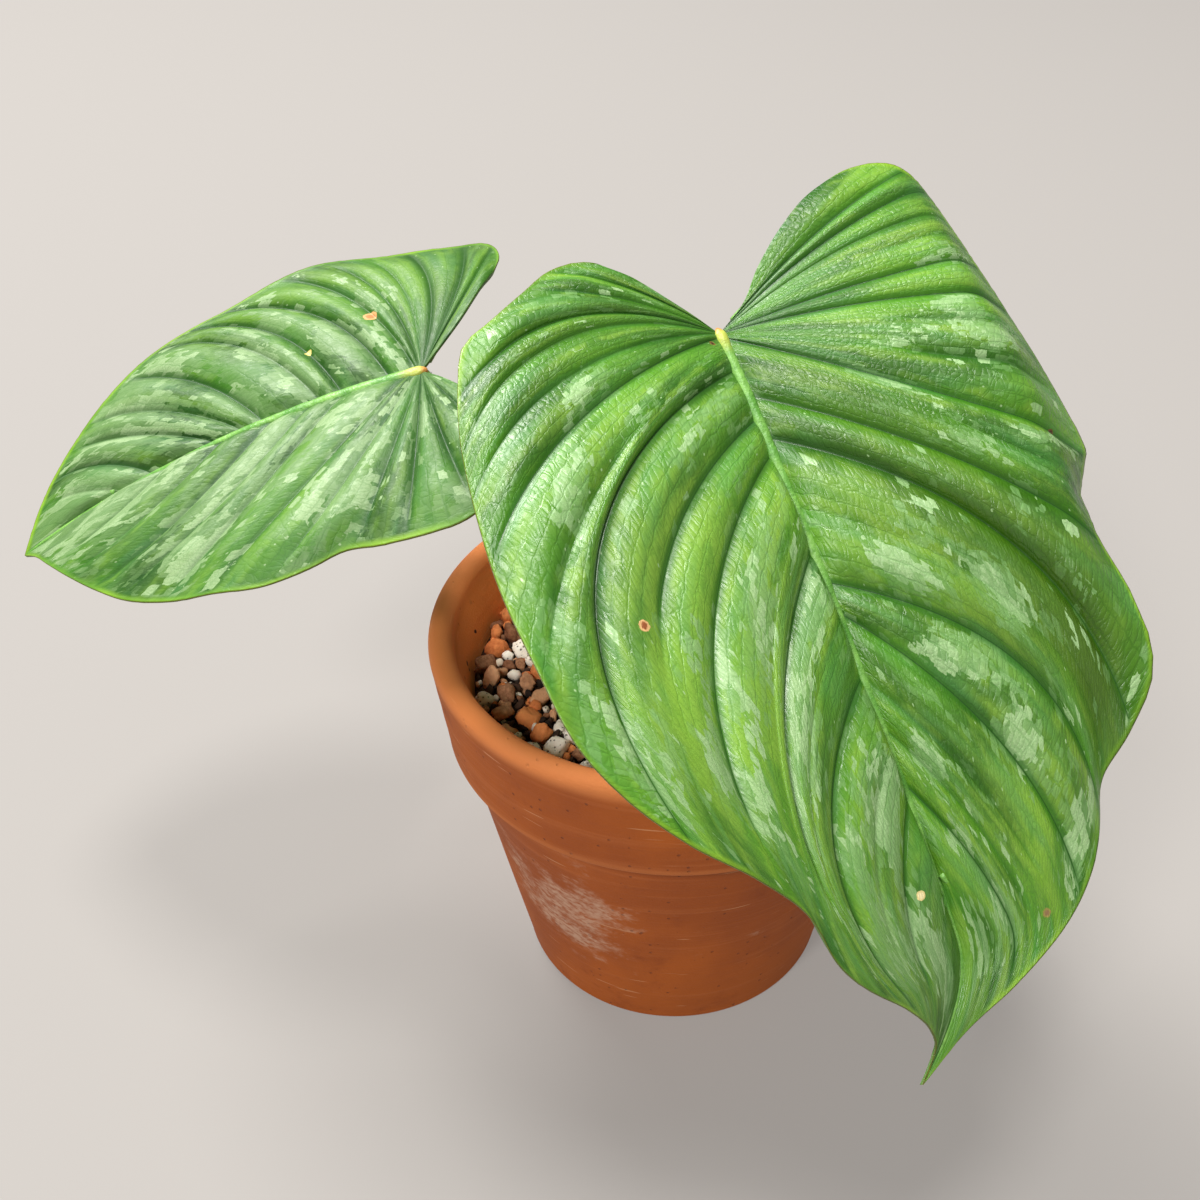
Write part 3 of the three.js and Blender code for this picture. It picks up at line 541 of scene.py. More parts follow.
# Sizes of a leaf's markings in millimetres, across the veins and along them
ZONE_SIZE = (14, 45)
STREAK_SIZE = (4.2, 34)
BLUISH_SIZE = (5, 26)
SUNNY_SIZE = (30, 100)
STRAND_SIZE = (2, 18)
DOT_SIZE = (2.7, 3.0)
VEIL_CELL, VEIL_FIELD = (1.5, 2.6), (5, 16)
PATCH_CELL, PATCH_FIELD = (1.8, 2.6), (6, 15)
FINE_MESH, COARSE_MESH = (2.6, 1.7), (5, 3.4)
STRAND_APART = 1.3
NET_TINT = (0.4, 0.62, 0.36, 1)
SUNNY_MARGIN, SHADY_MARGIN, MARGIN_LINE = (138, 182, 40), (88, 138, 30), (96, 92, 22)


def patches_of(m, flow, cell, field, seed, lean, limit):
    """Blocky patches with stepped edges: small cells laid along the veins, each wholly in or out of a slow
    field that is read at the cell's own place. Returns the share covered and a chance for each patch."""
    ragged = m.shifted(flow, 0.9, 0.3, seed)
    ragged = m.scaled(ragged, (1 / cell[0], 1 / cell[1], 1), (seed, 0, 0))
    small = m.cells(ragged, 1.0, 0.7, distance="CHEBYCHEV")
    at = small.outputs["Position"]
    wide, long = cell[0] / field[0], cell[1] / field[1]
    slow = m.noise(m.scaled(at, (wide, long, 1), (seed, 3.1, 0)), 1.0, 1.5)
    at = m.scaled(at, (wide * 1.4, long * 1.4, 1), (1.3, seed, 0))
    broad = m.cells(at, 1.0, distance="CHEBYCHEV")
    total = m.math("MULTIPLY_ADD", m.chance(broad), 0.25, slow)
    total = m.math("MULTIPLY_ADD", m.chance(small), 0.12, total)
    total = m.math("ADD", total, lean)
    return m.step(total, limit, limit + 0.004), m.chance(broad, 1)


def add_net(m, flow, on_leaf):
    """Fine veins along the puffs and the mesh of small veins between them. Returns their relief."""
    bent = m.shifted(flow, 0.35, 1.3, 7.0)
    strand = m.math("PINGPONG", m.add("SeparateXYZ", bent).outputs[0], STRAND_APART)
    come_and_go = m.stretched(flow, STRAND_SIZE, 1.0)
    long_veins = m.times(m.fade(strand, 0.04, 0.3), m.step(come_and_go, 0.3, 0.5))
    fine = m.walls(bent, FINE_MESH, 0.8)
    coarse = m.walls(bent, COARSE_MESH)
    mesh = m.math("MAXIMUM", m.fade(coarse, 0.0, 0.08, 0.7), m.fade(fine, 0.0, 0.12, 0.5))
    net = m.math("MAXIMUM", long_veins, mesh)
    m.lay(m.times(net, 0.38), m.blend(1.0, m.colour, NET_TINT, "MULTIPLY"))
    relief = m.math("MULTIPLY_ADD", m.step(fine, 0.0, 0.4), 0.3, m.times(net, -0.4))
    return m.math("MULTIPLY_ADD", m.noise(on_leaf, 1.4, 3.0, 0.6), 0.5, relief)


def add_spots(m, on_leaf, spots):
    """Small round marks, each at its place on the flat leaf: along the midrib, out from it, size, colours."""
    ragged = m.shifted(on_leaf, 1.1, 0.9, 11.0)
    for along, out, size, rim, middle in spots:
        away = m.space("DISTANCE", ragged, (along, out, 0), output=1)
        m.lay(m.fade(away, size * 0.85, size), rim)
        m.lay(m.fade(away, size * 0.45, size * 0.7), middle)


def leaf_material(name, look, spots):
    """A leaf's looks. look holds its colours, and how much silver there is and in what size of patch."""
    m = Paint(name)
    flow, on_leaf = m.read("flow", "Vector"), m.read("leaf", "Vector")
    crease, edge, silver_here, warm_here = [m.read(key) for key in ("crease", "edge", "silver", "warm")]

    # Green, from vein to vein lighter, yellower or bluer
    zone = m.stretched(flow, ZONE_SIZE, 2.0)
    m.colour = m.blend(m.step(zone, 0.35, 0.65), look["deep"], look["green"])
    m.lay(m.times(warm_here, 0.25), look["pale"])
    streak = m.stretched(m.shifted(flow, 0.12, 3.0), STREAK_SIZE, 1.0, (5, 2, 0))
    band = m.step(m.math("MULTIPLY_ADD", warm_here, 0.2, streak), 0.4, 0.85)
    m.lay(m.times(m.times(band, m.step(crease, 0.6, 2.4)), look["yellow_share"]), look["yellow"])
    m.lay(m.step(m.stretched(flow, BLUISH_SIZE, 2.0, (1, 8, 0)), 0.5, 0.7, 0.0, 0.5), look["bluish"])
    m.lay(m.times(m.read("dusky"), 0.8), look["dusky"])
    # Painted highlight: the crest of each puff is laid paler, as where light falls on it
    m.lay(m.step(m.read("crest"), 0.35, 1.0, 0.0, 0.1), look["crest"])

    # Silver: a thin veil, then brighter patches, both kept off the creases and the edge
    keep_off = m.times(m.step(edge, 1.2, 3.0), m.step(crease, 0.15, 0.5, 0.25, 1.0))
    lean = m.times(silver_here, 0.5)
    size = look["patch_size"]
    field = [side * size for side in VEIL_FIELD]
    veil, chance = patches_of(m, flow, VEIL_CELL, field, 6.0, lean, look["veil_limit"])
    m.lay(m.times(m.times(veil, keep_off), m.step(chance, 0, 1, 0.2, 0.5)), look["silver"])
    cell = [side * size**0.5 for side in PATCH_CELL]
    field = [side * size for side in PATCH_FIELD]
    patch, chance = patches_of(m, flow, cell, field, 0.0, lean, look["silver_limit"])
    tone = m.blend(m.step(chance, 0.1, 0.9), look["silver"], look["silver_light"])
    crinkle = m.noise(on_leaf, 2.2, 3.0, 0.65)
    tone = m.blend(m.fade(crinkle, 0.35, 0.6, 0.45), tone, look["silver"])
    m.lay(m.times(m.times(patch, keep_off), m.step(chance, 0, 1, 0.5, 0.88)), tone)
    dots = m.cells(m.scaled(flow, (1 / DOT_SIZE[0], 1 / DOT_SIZE[1], 1)), 1.0)
    m.lay(m.dots(dots, 0.07, 0.12, 0.6, 0.8, 1), look["silver_light"])

    # Small veins, painted shade in the creases, the edge and the spots
    relief = add_net(m, flow, on_leaf)
    # Painted shade: the creases are laid darker, and a thin dark line is drawn in each, where shade falls
    # between the puffs
    reach, share = look["crease_shade"]
    m.lay(m.step(crease, 0.15, reach, share, 0.0), look["deep"])
    m.lay(m.fade(crease, 0.06, 0.28, 0.75), look["line"])
    sunny = m.step(m.stretched(flow, SUNNY_SIZE, 1.0), 0.4, 0.6)
    m.lay(m.fade(edge, 0.4, 2.8, 0.7), m.blend(sunny, SHADY_MARGIN, SUNNY_MARGIN))
    m.lay(m.fade(edge, 0.08, 0.4, 0.85), MARGIN_LINE)
    add_spots(m, on_leaf, spots)
    relief = m.times(relief, m.step(crease, 0.2, 1.6, 0.2, 1.0))
    underside = m.blend(m.times(zone, 0.5), look["under"], look["deep"])
    m.lay(m.step(m.read("below"), 0.5, 0.9), underside)
    rough = look["rough"]
    roughness = m.step(m.noise(on_leaf, 0.4, 3.0), 0.35, 0.65, rough, rough + 0.12)
    normal = m.bump(relief, look["relief"], 0.0003)
    return m.finish(roughness, Normal=normal, Specular_IOR_Level=look["shine"])


# The leaf's mesh in millimetres: steps from vein to vein and along them, and what is finer than the solids
FINE_LINES = 12
FINE_SHARES = 60
BLADE_THICKNESS = 0.8
RIB_CLEAR = 6.0
RIB_HALF_WIDTH = 1.6
SWAY_SIZE = (22, 30)
SWAY, BUMP = 0.25, 0.14
LESSER_VEINS = (0.34, 0.67)
LESSER_WIDTH, LESSER_DEPTH = 0.05, 0.26
ZONES = ("silver", "warm", "dusky")

# Where the markings are laid along the veins: how wide each puff counts, and where the right half starts
PUFF_SPAN = 12.0
RIGHT_FROM = 200


def zone_share(spots, vein, share):
    """Sum of soft spots, each given by its vein, its share of the vein, its reach both ways and strength."""
    total = np.zeros_like(share)
    for at_vein, at_share, reach, length, strength in spots:
        total += strength * bell(vein, at_vein, reach) * bell(share, at_share, length)
    return np.minimum(total, 1.2)


def turned(faces):
    """Faces with the other side out, and the same first corners."""
    return [[face[0], *face[:0:-1]] for face in faces]


def shell_faces(rows, columns, flip):
    """Faces of a closed thin shell: a grid of points above, the same below, and a wall round the edge."""
    index = np.arange(rows * columns).reshape(rows, columns)
    quads = np.stack([index[:-1, :-1], index[:-1, 1:], index[1:, 1:], index[1:, :-1]], -1).reshape(-1, 4)
    if flip:
        quads = quads[:, ::-1]
    below = rows * columns
    loop = np.concatenate([index[0, :], index[1:, -1], index[-1, -2::-1], index[-2:0:-1, 0]])
    nxt = np.roll(loop, -1)
    wall = np.stack([loop, nxt, nxt + below, loop + below], -1)
    if not flip:
        wall = wall[:, ::-1]
    return turned(np.concatenate([quads, quads[:, ::-1] + below, wall]).tolist())


def half_blade(leaf, half):
    """Shape of one half of a blade as a closed thin shell, and its points' values."""
    even = np.linspace(0, 1, FINE_LINES + 1)
    spacing = mix(even, (1 - np.cos(np.pi * even)) / 2, 0.8)[:-1] * LINES_PER_VEIN
    veins = len(half["veins"]) + 1
    lines = [vein * LINES_PER_VEIN + step for vein in range(veins) for step in spacing]
    lines = np.array(lines + [veins * LINES_PER_VEIN])
    even = np.linspace(0, 1, FINE_SHARES + 1)
    line, share = np.meshgrid(lines, mix(even, smooth(even), 0.35), indexing="ij")
    flat, vein, between, widths, margin_share = leaf.flat(half, line, share)
    height = leaf.puff(half, flat, vein, between, widths, share, margin_share)
    span = np.linalg.norm(np.diff(flat, axis=1), axis=-1)
    run = np.concatenate([np.zeros((len(lines), 1)), np.cumsum(span, axis=1)], axis=1)
    width = widths[1]
    crest = 4 * between * (1 - between)
    seed = 5 if half["side"] > 0 else 9
    sway = soft_noise(flat[..., 0] / SWAY_SIZE[0] + 20, flat[..., 1] / SWAY_SIZE[1] + 20, seed)
    small = soft_noise(line * 0.6, run / 9, seed + 1)
    height = height * (1 + SWAY * sway * (1 - share)) + BUMP * small * crest * smooth(run / 12) * (1 - share)
    height = height * smooth(run / RIB_CLEAR) ** 0.6
    lesser = sum(bell(between, at, LESSER_WIDTH) for at in LESSER_VEINS)
    lesser = lesser * smooth(run / 15) * (0.6 + 0.4 * sway) * smooth((width - 4) / 4)
    height = height - LESSER_DEPTH * lesser
    edge_thin = mix(1.0, 0.55, smooth((share - 0.96) / 0.04))
    lifts = (height, height - BLADE_THICKNESS * edge_thin)
    points = np.concatenate([leaf.sheet(half, flat, lift).reshape(-1, 3) for lift in lifts])
    weak = [3 * (1 - np.minimum(leaf.crease_depth(half, vein + step, share), 1)) for step in (0, 1)]
    crease = np.minimum(between * width + weak[0], (1 - between) * width + weak[1])
    right = half["side"] > 0
    values = dict(
        crease=crease,
        edge=(1 - share) * run[:, -1:],
        crest=crest,
        flow=np.stack([line / LINES_PER_VEIN * PUFF_SPAN, run + RIGHT_FROM * right], -1),
        leaf=flat * np.array([1, half["side"]]),
    )
    for zone in ZONES:
        values[zone] = zone_share(half[zone], line / LINES_PER_VEIN, share)
    values = {key: np.concatenate([v.reshape((-1,) + v.shape[2:])] * 2) for key, v in values.items()}
    values["below"] = np.repeat([0.0, 1.0], line.size)
    return points, shell_faces(*line.shape, not right), values


def drop_thin(points, faces):
    """Faces without their repeated corners."""
    places = {}
    same = [places.setdefault(tuple(p), i) for i, p in enumerate(np.round(points, 4).tolist())]
    kept = []
    for face in faces:
        corners = {}
        for corner in face:
            corners.setdefault(same[corner], corner)
        if len(corners) > 2:
            kept.append(list(corners.values()))
    return kept


def add_blade(name, leaf, material, node):
    sides = [half_blade(leaf, half) for half in leaf.halves]
    shape = join([(points, drop_thin(points, faces)) for points, faces, _ in sides])
    values = {key: np.concatenate([side[2][key] for side in sides]) for key in sides[0][2]}
    return add_piece(name, shape, material, (node,), values)


def ring_faces(rings, sides):
    """Faces from each ring of points to the next, and from the last to the first."""
    index = np.arange(rings * sides).reshape(rings, sides)
    nxt = np.roll(index, -1, axis=1)
    return np.stack([index, nxt, np.roll(nxt, -1, axis=0), np.roll(index, -1, axis=0)], -1)


def tube_faces(rings, sides):
    """Faces of a closed tube with flat ends."""
    faces = ring_faces(rings, sides)[:-1].reshape(-1, 4).tolist()
    last = (rings - 1) * sides
    return faces + [list(range(sides))[::-1], list(range(last, last + sides))]


def tube_mesh(centres, normals, radii, sides):
    """Shape of a closed tube. normals say which way its height lies, and radii may hold one radius for
    each centre, or its half width, height and depth."""
    along = unit(np.gradient(centres, axis=0))
    across = unit(np.cross(normals, along))
    up = np.cross(along, across)
    if radii.ndim == 1:
        radii = np.stack([radii, radii, radii], 1)
    angle = circle(sides)
    ups = np.where(np.sin(angle)[None, :] < 0, radii[:, 2:3], radii[:, 1:2]) * np.sin(angle)
    points = centres[:, None] + across[:, None] * (radii[:, 0:1] * np.cos(angle))[..., None]
    points = points + up[:, None] * ups[..., None]
    return points.reshape(-1, 3), tube_faces(len(centres), sides)


def leaf_line(leaf, half, vein, shares, lift):
    """Points along one vein on the sheet, and which way is up there."""
    line = np.full_like(shares, vein * LINES_PER_VEIN + 1e-6)
    flat, *where = leaf.flat(half, line, shares)
    height = leaf.puff(half, flat, *where[:3], shares, where[3]) + lift
    top = leaf.sheet(half, flat, height)
    return top, leaf.sheet(half, flat, height + 1) - top


def add_ribs(name, leaf, material):
    """The midrib, raised above the blade and deeper below it, and the main veins on the underside."""
    along = np.concatenate([np.linspace(-1.6, 4, 10), np.linspace(5.5, leaf.length - 0.4, 110)])
    middle, _, normal = leaf.midrib(leaf.halves[0], along)
    thin = mix(1.0, 0.28, np.clip(along / leaf.length, 0, 1) ** 1.3)
    for seed, wave, start in ((15, 1.3, 100), (16, 4, 50)):
        thin = thin * (1 + 0.05 * soft_noise(along / wave + start, along * 0, seed))
    ends = np.clip((along + 1.7) / 2.2, 0.02, 1) * np.clip((leaf.length - along) / 4, 0.02, 1)
    sizes = np.array([RIB_HALF_WIDTH, leaf.rib_height + 0.5, leaf.rib_depth + 0.6])
    centres = middle - normal * 0.1
    radii = (thin * np.sqrt(ends))[:, None] * sizes
    parts = [tube_mesh(centres, normal, radii, 14)]
    shares = np.linspace(0.06, 0.97, 30)
    size = mix(0.85, 0.22, shares)
    radii = np.stack([size, size * 0.5, size], 1)
    for half in leaf.halves:
        for vein in range(1, len(half["veins"]) + 1):
            line, up = leaf_line(leaf, half, vein, shares, -BLADE_THICKNESS * 0.9)
            parts.append(tube_mesh(line, up, radii, 8))
    shape = join(parts)
    from_stalk = np.full(len(shape[0]), leaf.length / 2)
    rib_points = len(parts[0][0])
    from_stalk[:rib_points] = np.repeat(along, rib_points // len(along))
    return add_piece(name, shape, material, (), {"from_stalk": from_stalk})


def grown_material(name, at_scale, detail, dark, light):
    """Two greens or browns by a slow noise. Returns the material's nodes and its coordinates."""
    m = Paint(name)
    at = m.coordinates()
    tint = m.noise(m.scaled(at, at_scale), 1.0, detail)
    m.colour = m.blend(m.step(tint, 0.3, 0.7), dark, light)
    return m, at


def rib_material():
    m, at = grown_material("midrib", (180, 180, 180), 3.0, (88, 148, 56), (128, 180, 84))
    m.lay(m.step(m.noise(at, 900.0), 0.5, 0.7, 0.0, 0.4), (66, 122, 44))
    from_stalk = m.read("from_stalk")
    m.lay(m.fade(from_stalk, 1.0, 7.0, 0.9), (190, 196, 84))
    m.lay(m.fade(from_stalk, -1.2, 0.4, 0.9), (198, 128, 66))
    relief = m.math("MULTIPLY_ADD", m.noise(at, 1500.0), 0.5, m.noise(at, 500.0))
    return m.finish(0.42, Normal=m.bump(relief, 0.6, 0.0005))


def stalk_material():
    m, at = grown_material("stalk", (120, 120, 120), 4.0, (84, 120, 48), (124, 152, 70))
    m.lay(m.fade(m.cells(at, 900.0).outputs[0], 0.1, 0.3, 0.5), (120, 78, 50))
    return m.finish(0.5, Normal=m.bump(m.noise(at, 1200.0), 0.5, 0.0003))


def stem_material():
    m, at = grown_material("stem", (60, 60, 160), 4.0, (92, 112, 52), (140, 132, 84))
    return m.finish(0.6, Normal=m.bump(m.noise(at, 700.0, 3.0), 0.6, 0.0005))


def inner_radius(height):
    foot = BASE_RADIUS - WALL_THICKNESS
    lip = RIM_RADIUS - LIP_THICKNESS
    return mix(foot, lip, (height - FLOOR_THICKNESS) / (POT_HEIGHT - FLOOR_THICKNESS))


def arc(centre, radius, start, end, count, squeeze=1.0):
    angle = np.radians(np.linspace(start, end, count))
    return [(centre[0] + radius * np.cos(a), centre[1] + radius * squeeze * np.sin(a)) for a in angle]


def straight(start, end, count, last=1.0):
    return [tuple(mix(np.array(start), np.array(end), t)) for t in np.linspace(0, last, count)]


def pot_profile():
    """Radius and height round the pot's wall: the drain hole, the foot, the outside, the lip, the inside."""
    band = POT_HEIGHT - RIM_HEIGHT
    half_lip = LIP_THICKNESS / 2
    points = [(DRAIN_RADIUS, 0.6)] + arc((DRAIN_RADIUS + 0.6, 0.6), 0.6, 180, 270, 4)[1:]
    points += [(20, 0.0), (34, 0.0)]
    points += arc((BASE_RADIUS - 1.5, 1.6), 1.6, 270, 355, 7)
    points += straight((BASE_RADIUS + 0.2, 2.4), (BODY_TOP_RADIUS, band), 26, 0.985)
    points += [(BODY_TOP_RADIUS + 0.25, band - 0.35), (BODY_TOP_RADIUS + 0.9, band)]
    points += arc((RIM_FOOT_RADIUS - 1.3, band + 1.3), 1.3, 270, 355, 7)
    points += straight((RIM_FOOT_RADIUS, band + 2.2), (RIM_RADIUS, POT_HEIGHT - 3.4), 12)
    points += arc((RIM_RADIUS - half_lip, POT_HEIGHT - 3.0), half_lip, 5, 175, 17, 3.0 / half_lip)
    points += [(RIM_RADIUS - LIP_THICKNESS - 0.35, POT_HEIGHT - 5.5)]
    high, low = POT_HEIGHT - 8, FLOOR_THICKNESS + 3
    points += straight((inner_radius(high), high), (inner_radius(low), low), 20)
    return points + [(BASE_RADIUS - WALL_THICKNESS - 2.5, FLOOR_THICKNESS), (DRAIN_RADIUS, FLOOR_THICKNESS)]


def pot_shape(sides=180):
    """The profile turned round, a little out of true and with faint rings from the making."""
    radius, height = np.array(pot_profile(), float).T[..., None]
    angle = circle(sides)
    slow = 0.1 * np.sin(angle * 2 + 0.7) + 0.07 * np.sin(angle * 3 + 2.0 + height * 0.02)
    radius = radius + slow + 0.035 * np.sin(height * 1.9 + 0.4 * np.sin(angle))
    points = ring(radius, angle, height).reshape(-1, 3)
    return points, ring_faces(len(height), sides).reshape(-1, 4).tolist()


# Places on the pot in metres: the pale salt mark's middle, the rim's foot and the lip. Two are soft steps:
# from the inner wall outward, and up to where the mix has left its crumbs.
BLOOM_PLACE = tuple((AXIS + np.array([-29.0, -43.0, 46.0])) * MM)
RIM_FOOT = (POT_HEIGHT - RIM_HEIGHT) * MM
LIP = POT_HEIGHT * MM
INNER_WALL = (0.0575, 0.0595)
MIX_LINE = (0.086, 0.088)


def clay_material():
    m = Paint("terracotta")
    at = m.coordinates()
    height = m.add("SeparateXYZ", at).outputs[2]

    # The clay's own colour: slow blotches, streaks from turning, dark clouds and pits
    slow = m.noise(at, 22.0, 4.0, 0.55)
    m.colour = m.blend(m.step(slow, 0.35, 0.68), (164, 80, 25), (190, 98, 33))
    streaks = m.noise(m.scaled(at, (18, 18, 420)), 1.0, 3.0, 0.6)
    m.lay(m.step(streaks, 0.5, 0.72, 0.0, 0.25), (204, 118, 64))
    m.lay(m.step(m.noise(at, 60.0, 5.0, 0.65), 0.56, 0.74, 0.0, 0.45), (138, 60, 18))
    pit = m.dots(m.cells(at, 420.0), 0.1, 0.22, 0.8)
    m.lay(m.times(pit, 0.6), (110, 52, 30))

    # Salt on the body and pale scratches
    from_bloom = m.space("DISTANCE", at, BLOOM_PLACE, output=1)
    bloom = m.noise(m.scaled(at, (60, 60, 90)), 1.0, 5.0, 0.7)
    bloom = m.math("ADD", bloom, m.step(from_bloom, 0.006, 0.034, 0.2, -0.06))
    on_body = m.times(m.step(height, 0.01, 0.026), m.step(height, RIM_FOOT + 0.002, RIM_FOOT - 0.016))
    dust = m.noise(m.scaled(at, (500, 500, 900)), 1.0)
    bloom = m.times(m.times(m.step(bloom, 0.55, 0.78), on_body), m.step(dust, 0.2, 0.65))
    m.lay(m.times(bloom, 0.62), (224, 190, 164))
    scratch = m.noise(m.scaled(at, (70, 70, 1100), (3, 1, 2), (0.5, 0.35, 0)), 1.0, 1.0)
    m.lay(m.step(scratch, 0.72, 0.78, 0.0, 0.5), (226, 168, 122))

    # Painted shade under the rim, painted highlights on its foot and on the lip
    # Painted shade: a dark band on the body just under the rim's foot
    below_foot = m.step(height, RIM_FOOT - 0.0065, RIM_FOOT - 0.0002)
    painted_shade_under_rim = m.times(below_foot, m.fade(height, RIM_FOOT + 0.0002, RIM_FOOT + 0.0006))
    m.lay(m.times(painted_shade_under_rim, 0.8), (96, 42, 16))
    # Painted highlight: a pale band on the rim's foot
    painted_highlight_on_foot = m.step(height, RIM_FOOT + 0.0002, RIM_FOOT + 0.0008)
    painted_highlight_on_foot = m.times(painted_highlight_on_foot, m.fade(height, RIM_FOOT + 0.0016, RIM_FOOT + 0.0032))
    m.lay(m.times(painted_highlight_on_foot, 0.35), (224, 138, 78))
    # Painted highlight: the lip is laid paler, as where light falls on its top
    m.lay(m.times(m.step(height, LIP - 0.0065, LIP - 0.0015), 0.75), (240, 146, 82))

    # The inner wall above the mix, paler by painted light, and with crumbs of the mix sticking to it
    off_axis = m.scaled(m.space("SUBTRACT", at, tuple(AXIS * MM)), (1, 1, 0))
    inside = m.fade(m.space("LENGTH", off_axis, output=1), *INNER_WALL)
    inside = m.times(inside, m.step(height, *MIX_LINE))
    # Painted light: the inner wall is laid paler
    m.lay(m.times(inside, 0.7), (226, 138, 66))
    crumb = m.dots(m.cells(m.shifted(at, 300.0, 0.002), 330.0), 0.2, 0.34, 0.7)
    low = m.times(inside, m.fade(height, 0.1, 0.11))
    m.lay(m.times(crumb, low), (44, 28, 20))

    grit = m.noise(at, 1400.0, 3.0, 0.6)
    relief = m.math("MULTIPLY_ADD", grit, 0.5, m.times(streaks, 0.9))
    relief = m.math("MULTIPLY_ADD", pit, -1.6, relief)
    roughness = m.step(slow, 0.3, 0.7, 0.7, 0.84)
    return m.finish(roughness, Normal=m.bump(relief, 0.5, 0.0005), Specular_IOR_Level=0.35)


def mix_height(x, y):
    away = math.hypot(x - STEM_AT[0], y - STEM_AT[1]) / inner_radius(MIX_TOP)
    return MIX_TOP - MIX_SLOPE * float(smooth(away))


def icosphere(level):
    """Unit sphere points and faces of a divided icosahedron."""
    work = bmesh.new()
    bmesh.ops.create_icosphere(work, subdivisions=level, radius=1.0)
    points = np.array([v.co[:] for v in work.verts])
    faces = [[v.index for v in f.verts] for f in work.faces]
    work.free()
    return points, faces


def lumpy(points, rng, amount, planes):
    """A pebble: a sphere cut by a few soft planes and roughened."""
    size = np.ones(len(points))
    for _ in range(planes):
        direction = unit(rng.normal(size=3))
        size = np.minimum(size, rng.uniform(0.62, 0.88) / np.maximum(points @ direction, 1e-3))
    phase = rng.uniform(0, 6, 9)
    for k, scale in enumerate((2.2, 4.1, 7.3)):
        waves = [np.sin(points @ rng.normal(size=3) * scale + phase[k + shift]) for shift in (0, 3)]
        size = size * (1 + amount * waves[0] * waves[1] / (k + 1))
    return points * size[:, None]


# The loose bits' radii, how often a place is tried for each, and how close they come
BIT_SIZES = ((2.7, 3.5, 500, 0.95), (1.9, 2.7, 1500, 0.9), (1.1, 1.9, 4000, 0.8), (0.7, 1.1, 4000, 0.7))
BIG_BIT = 1.9

# Their kinds: roughness, soft cuts, stretch, the draws up to which a big or a small bit is of that kind, dark
# and light colour, scale of the grain, and strength of the pores
KINDS = dict(
    pumice=(0.1, 5, (1.0, 0.9, 0.85), (0.38, 0.14), (222, 204, 180), (255, 248, 236), 700.0, 0.8),
    bark=(0.2, 8, (1.25, 0.85, 0.7), (0.78, 0.5), (112, 68, 42), (222, 166, 124), 900.0, 0.0),
    clay_bit=(0.12, 4, (1.1, 0.95, 0.85), (1.0, 0.64), (176, 88, 40), (238, 150, 88), 900.0, 0.0),
    humus=(0.22, 7, (1.3, 0.8, 0.6), (1.0, 1.0), (30, 20, 15), (74, 50, 36), 900.0, 0.0),
)


def scatter(rng):
    """Places of the loose bits: big ones first, each clear of those before it."""
    reach = inner_radius(MIX_TOP) - 0.6
    bits = []
    for low, high, tries, overlap in BIT_SIZES:
        for _ in range(tries):
            radius = rng.uniform(low, high)
            away = math.sqrt(rng.uniform()) * (reach - radius)
            angle = rng.uniform(0, 2 * math.pi)
            x, y = away * math.cos(angle), away * math.sin(angle)
            if math.hypot(x - STEM_AT[0], y - STEM_AT[1]) < STEM_RADIUS + radius * 0.9:
                continue
            if all((x - a) ** 2 + (y - b) ** 2 > (overlap * (radius + r)) ** 2 for a, b, r in bits):
                bits.append((x, y, radius))
    return bits


def add_bits():
    """The loose bits of the mix, a piece for each kind."""
    rng = np.random.default_rng(21)
    coarse, fine = icosphere(2), icosphere(3)
    shapes = {kind: [] for kind in KINDS}
    tones = {kind: [] for kind in KINDS}
    for x, y, radius in scatter(rng):
        draw = rng.uniform()
        small = 0 if radius > BIG_BIT else 1
        kind = next(kind for kind, row in KINDS.items() if draw < row[3][small])
        ball = fine if radius > 2.0 else coarse
        amount, planes, stretch = KINDS[kind][:3]
        form = lumpy(ball[0], rng, amount, planes) * np.array(stretch) * radius * 1.12
        form = form @ np.array(Quaternion(unit(rng.normal(size=4))).to_matrix()).T
        height = mix_height(x, y) + radius * 0.62 - rng.uniform(0.0, 0.45) * radius
        shapes[kind].append((form + np.array([x, y, height]), ball[1]))
        tones[kind].append(np.full(len(form), rng.uniform()))
    for kind, row in KINDS.items():
        look = bit_material(kind, *row[4:])
        tone = {"tone": np.concatenate(tones[kind])}
        add_piece("mix_" + kind, join(shapes[kind]), look, (), tone)


def bit_material(name, dark, light, grain_scale, pores):
    m = Paint(name)
    at = m.coordinates()
    grain = m.noise(at, grain_scale, 4.0, 0.65)
    share = m.math("MULTIPLY_ADD", m.read("tone"), 0.6, m.times(grain, 0.7))
    m.colour = m.blend(m.step(share, 0.25, 1.0), dark, light)
    relief = grain
    if pores > 0:
        holes = m.cells(m.shifted(at, 300.0, 0.0006), 900.0)
        hole = m.step(holes.outputs[0], 0.12, 0.34, pores, 0.0)
        m.lay(hole, (70, 52, 40))
        relief = m.math("SUBTRACT", m.times(grain, 0.5), m.times(hole, 1.5))
    return m.finish(0.85, Normal=m.bump(relief, 0.7, 0.0005), Specular_IOR_Level=0.3)


def soil_material():
    m = Paint("fine_mix")
    grain = m.noise(m.coordinates(), 900.0, 5.0, 0.7)
    m.colour = m.blend(m.step(grain, 0.35, 0.7), (30, 20, 15), (86, 60, 42))
    return m.finish(0.95, Normal=m.bump(grain, 1.0, 0.001), Specular_IOR_Level=0.2)


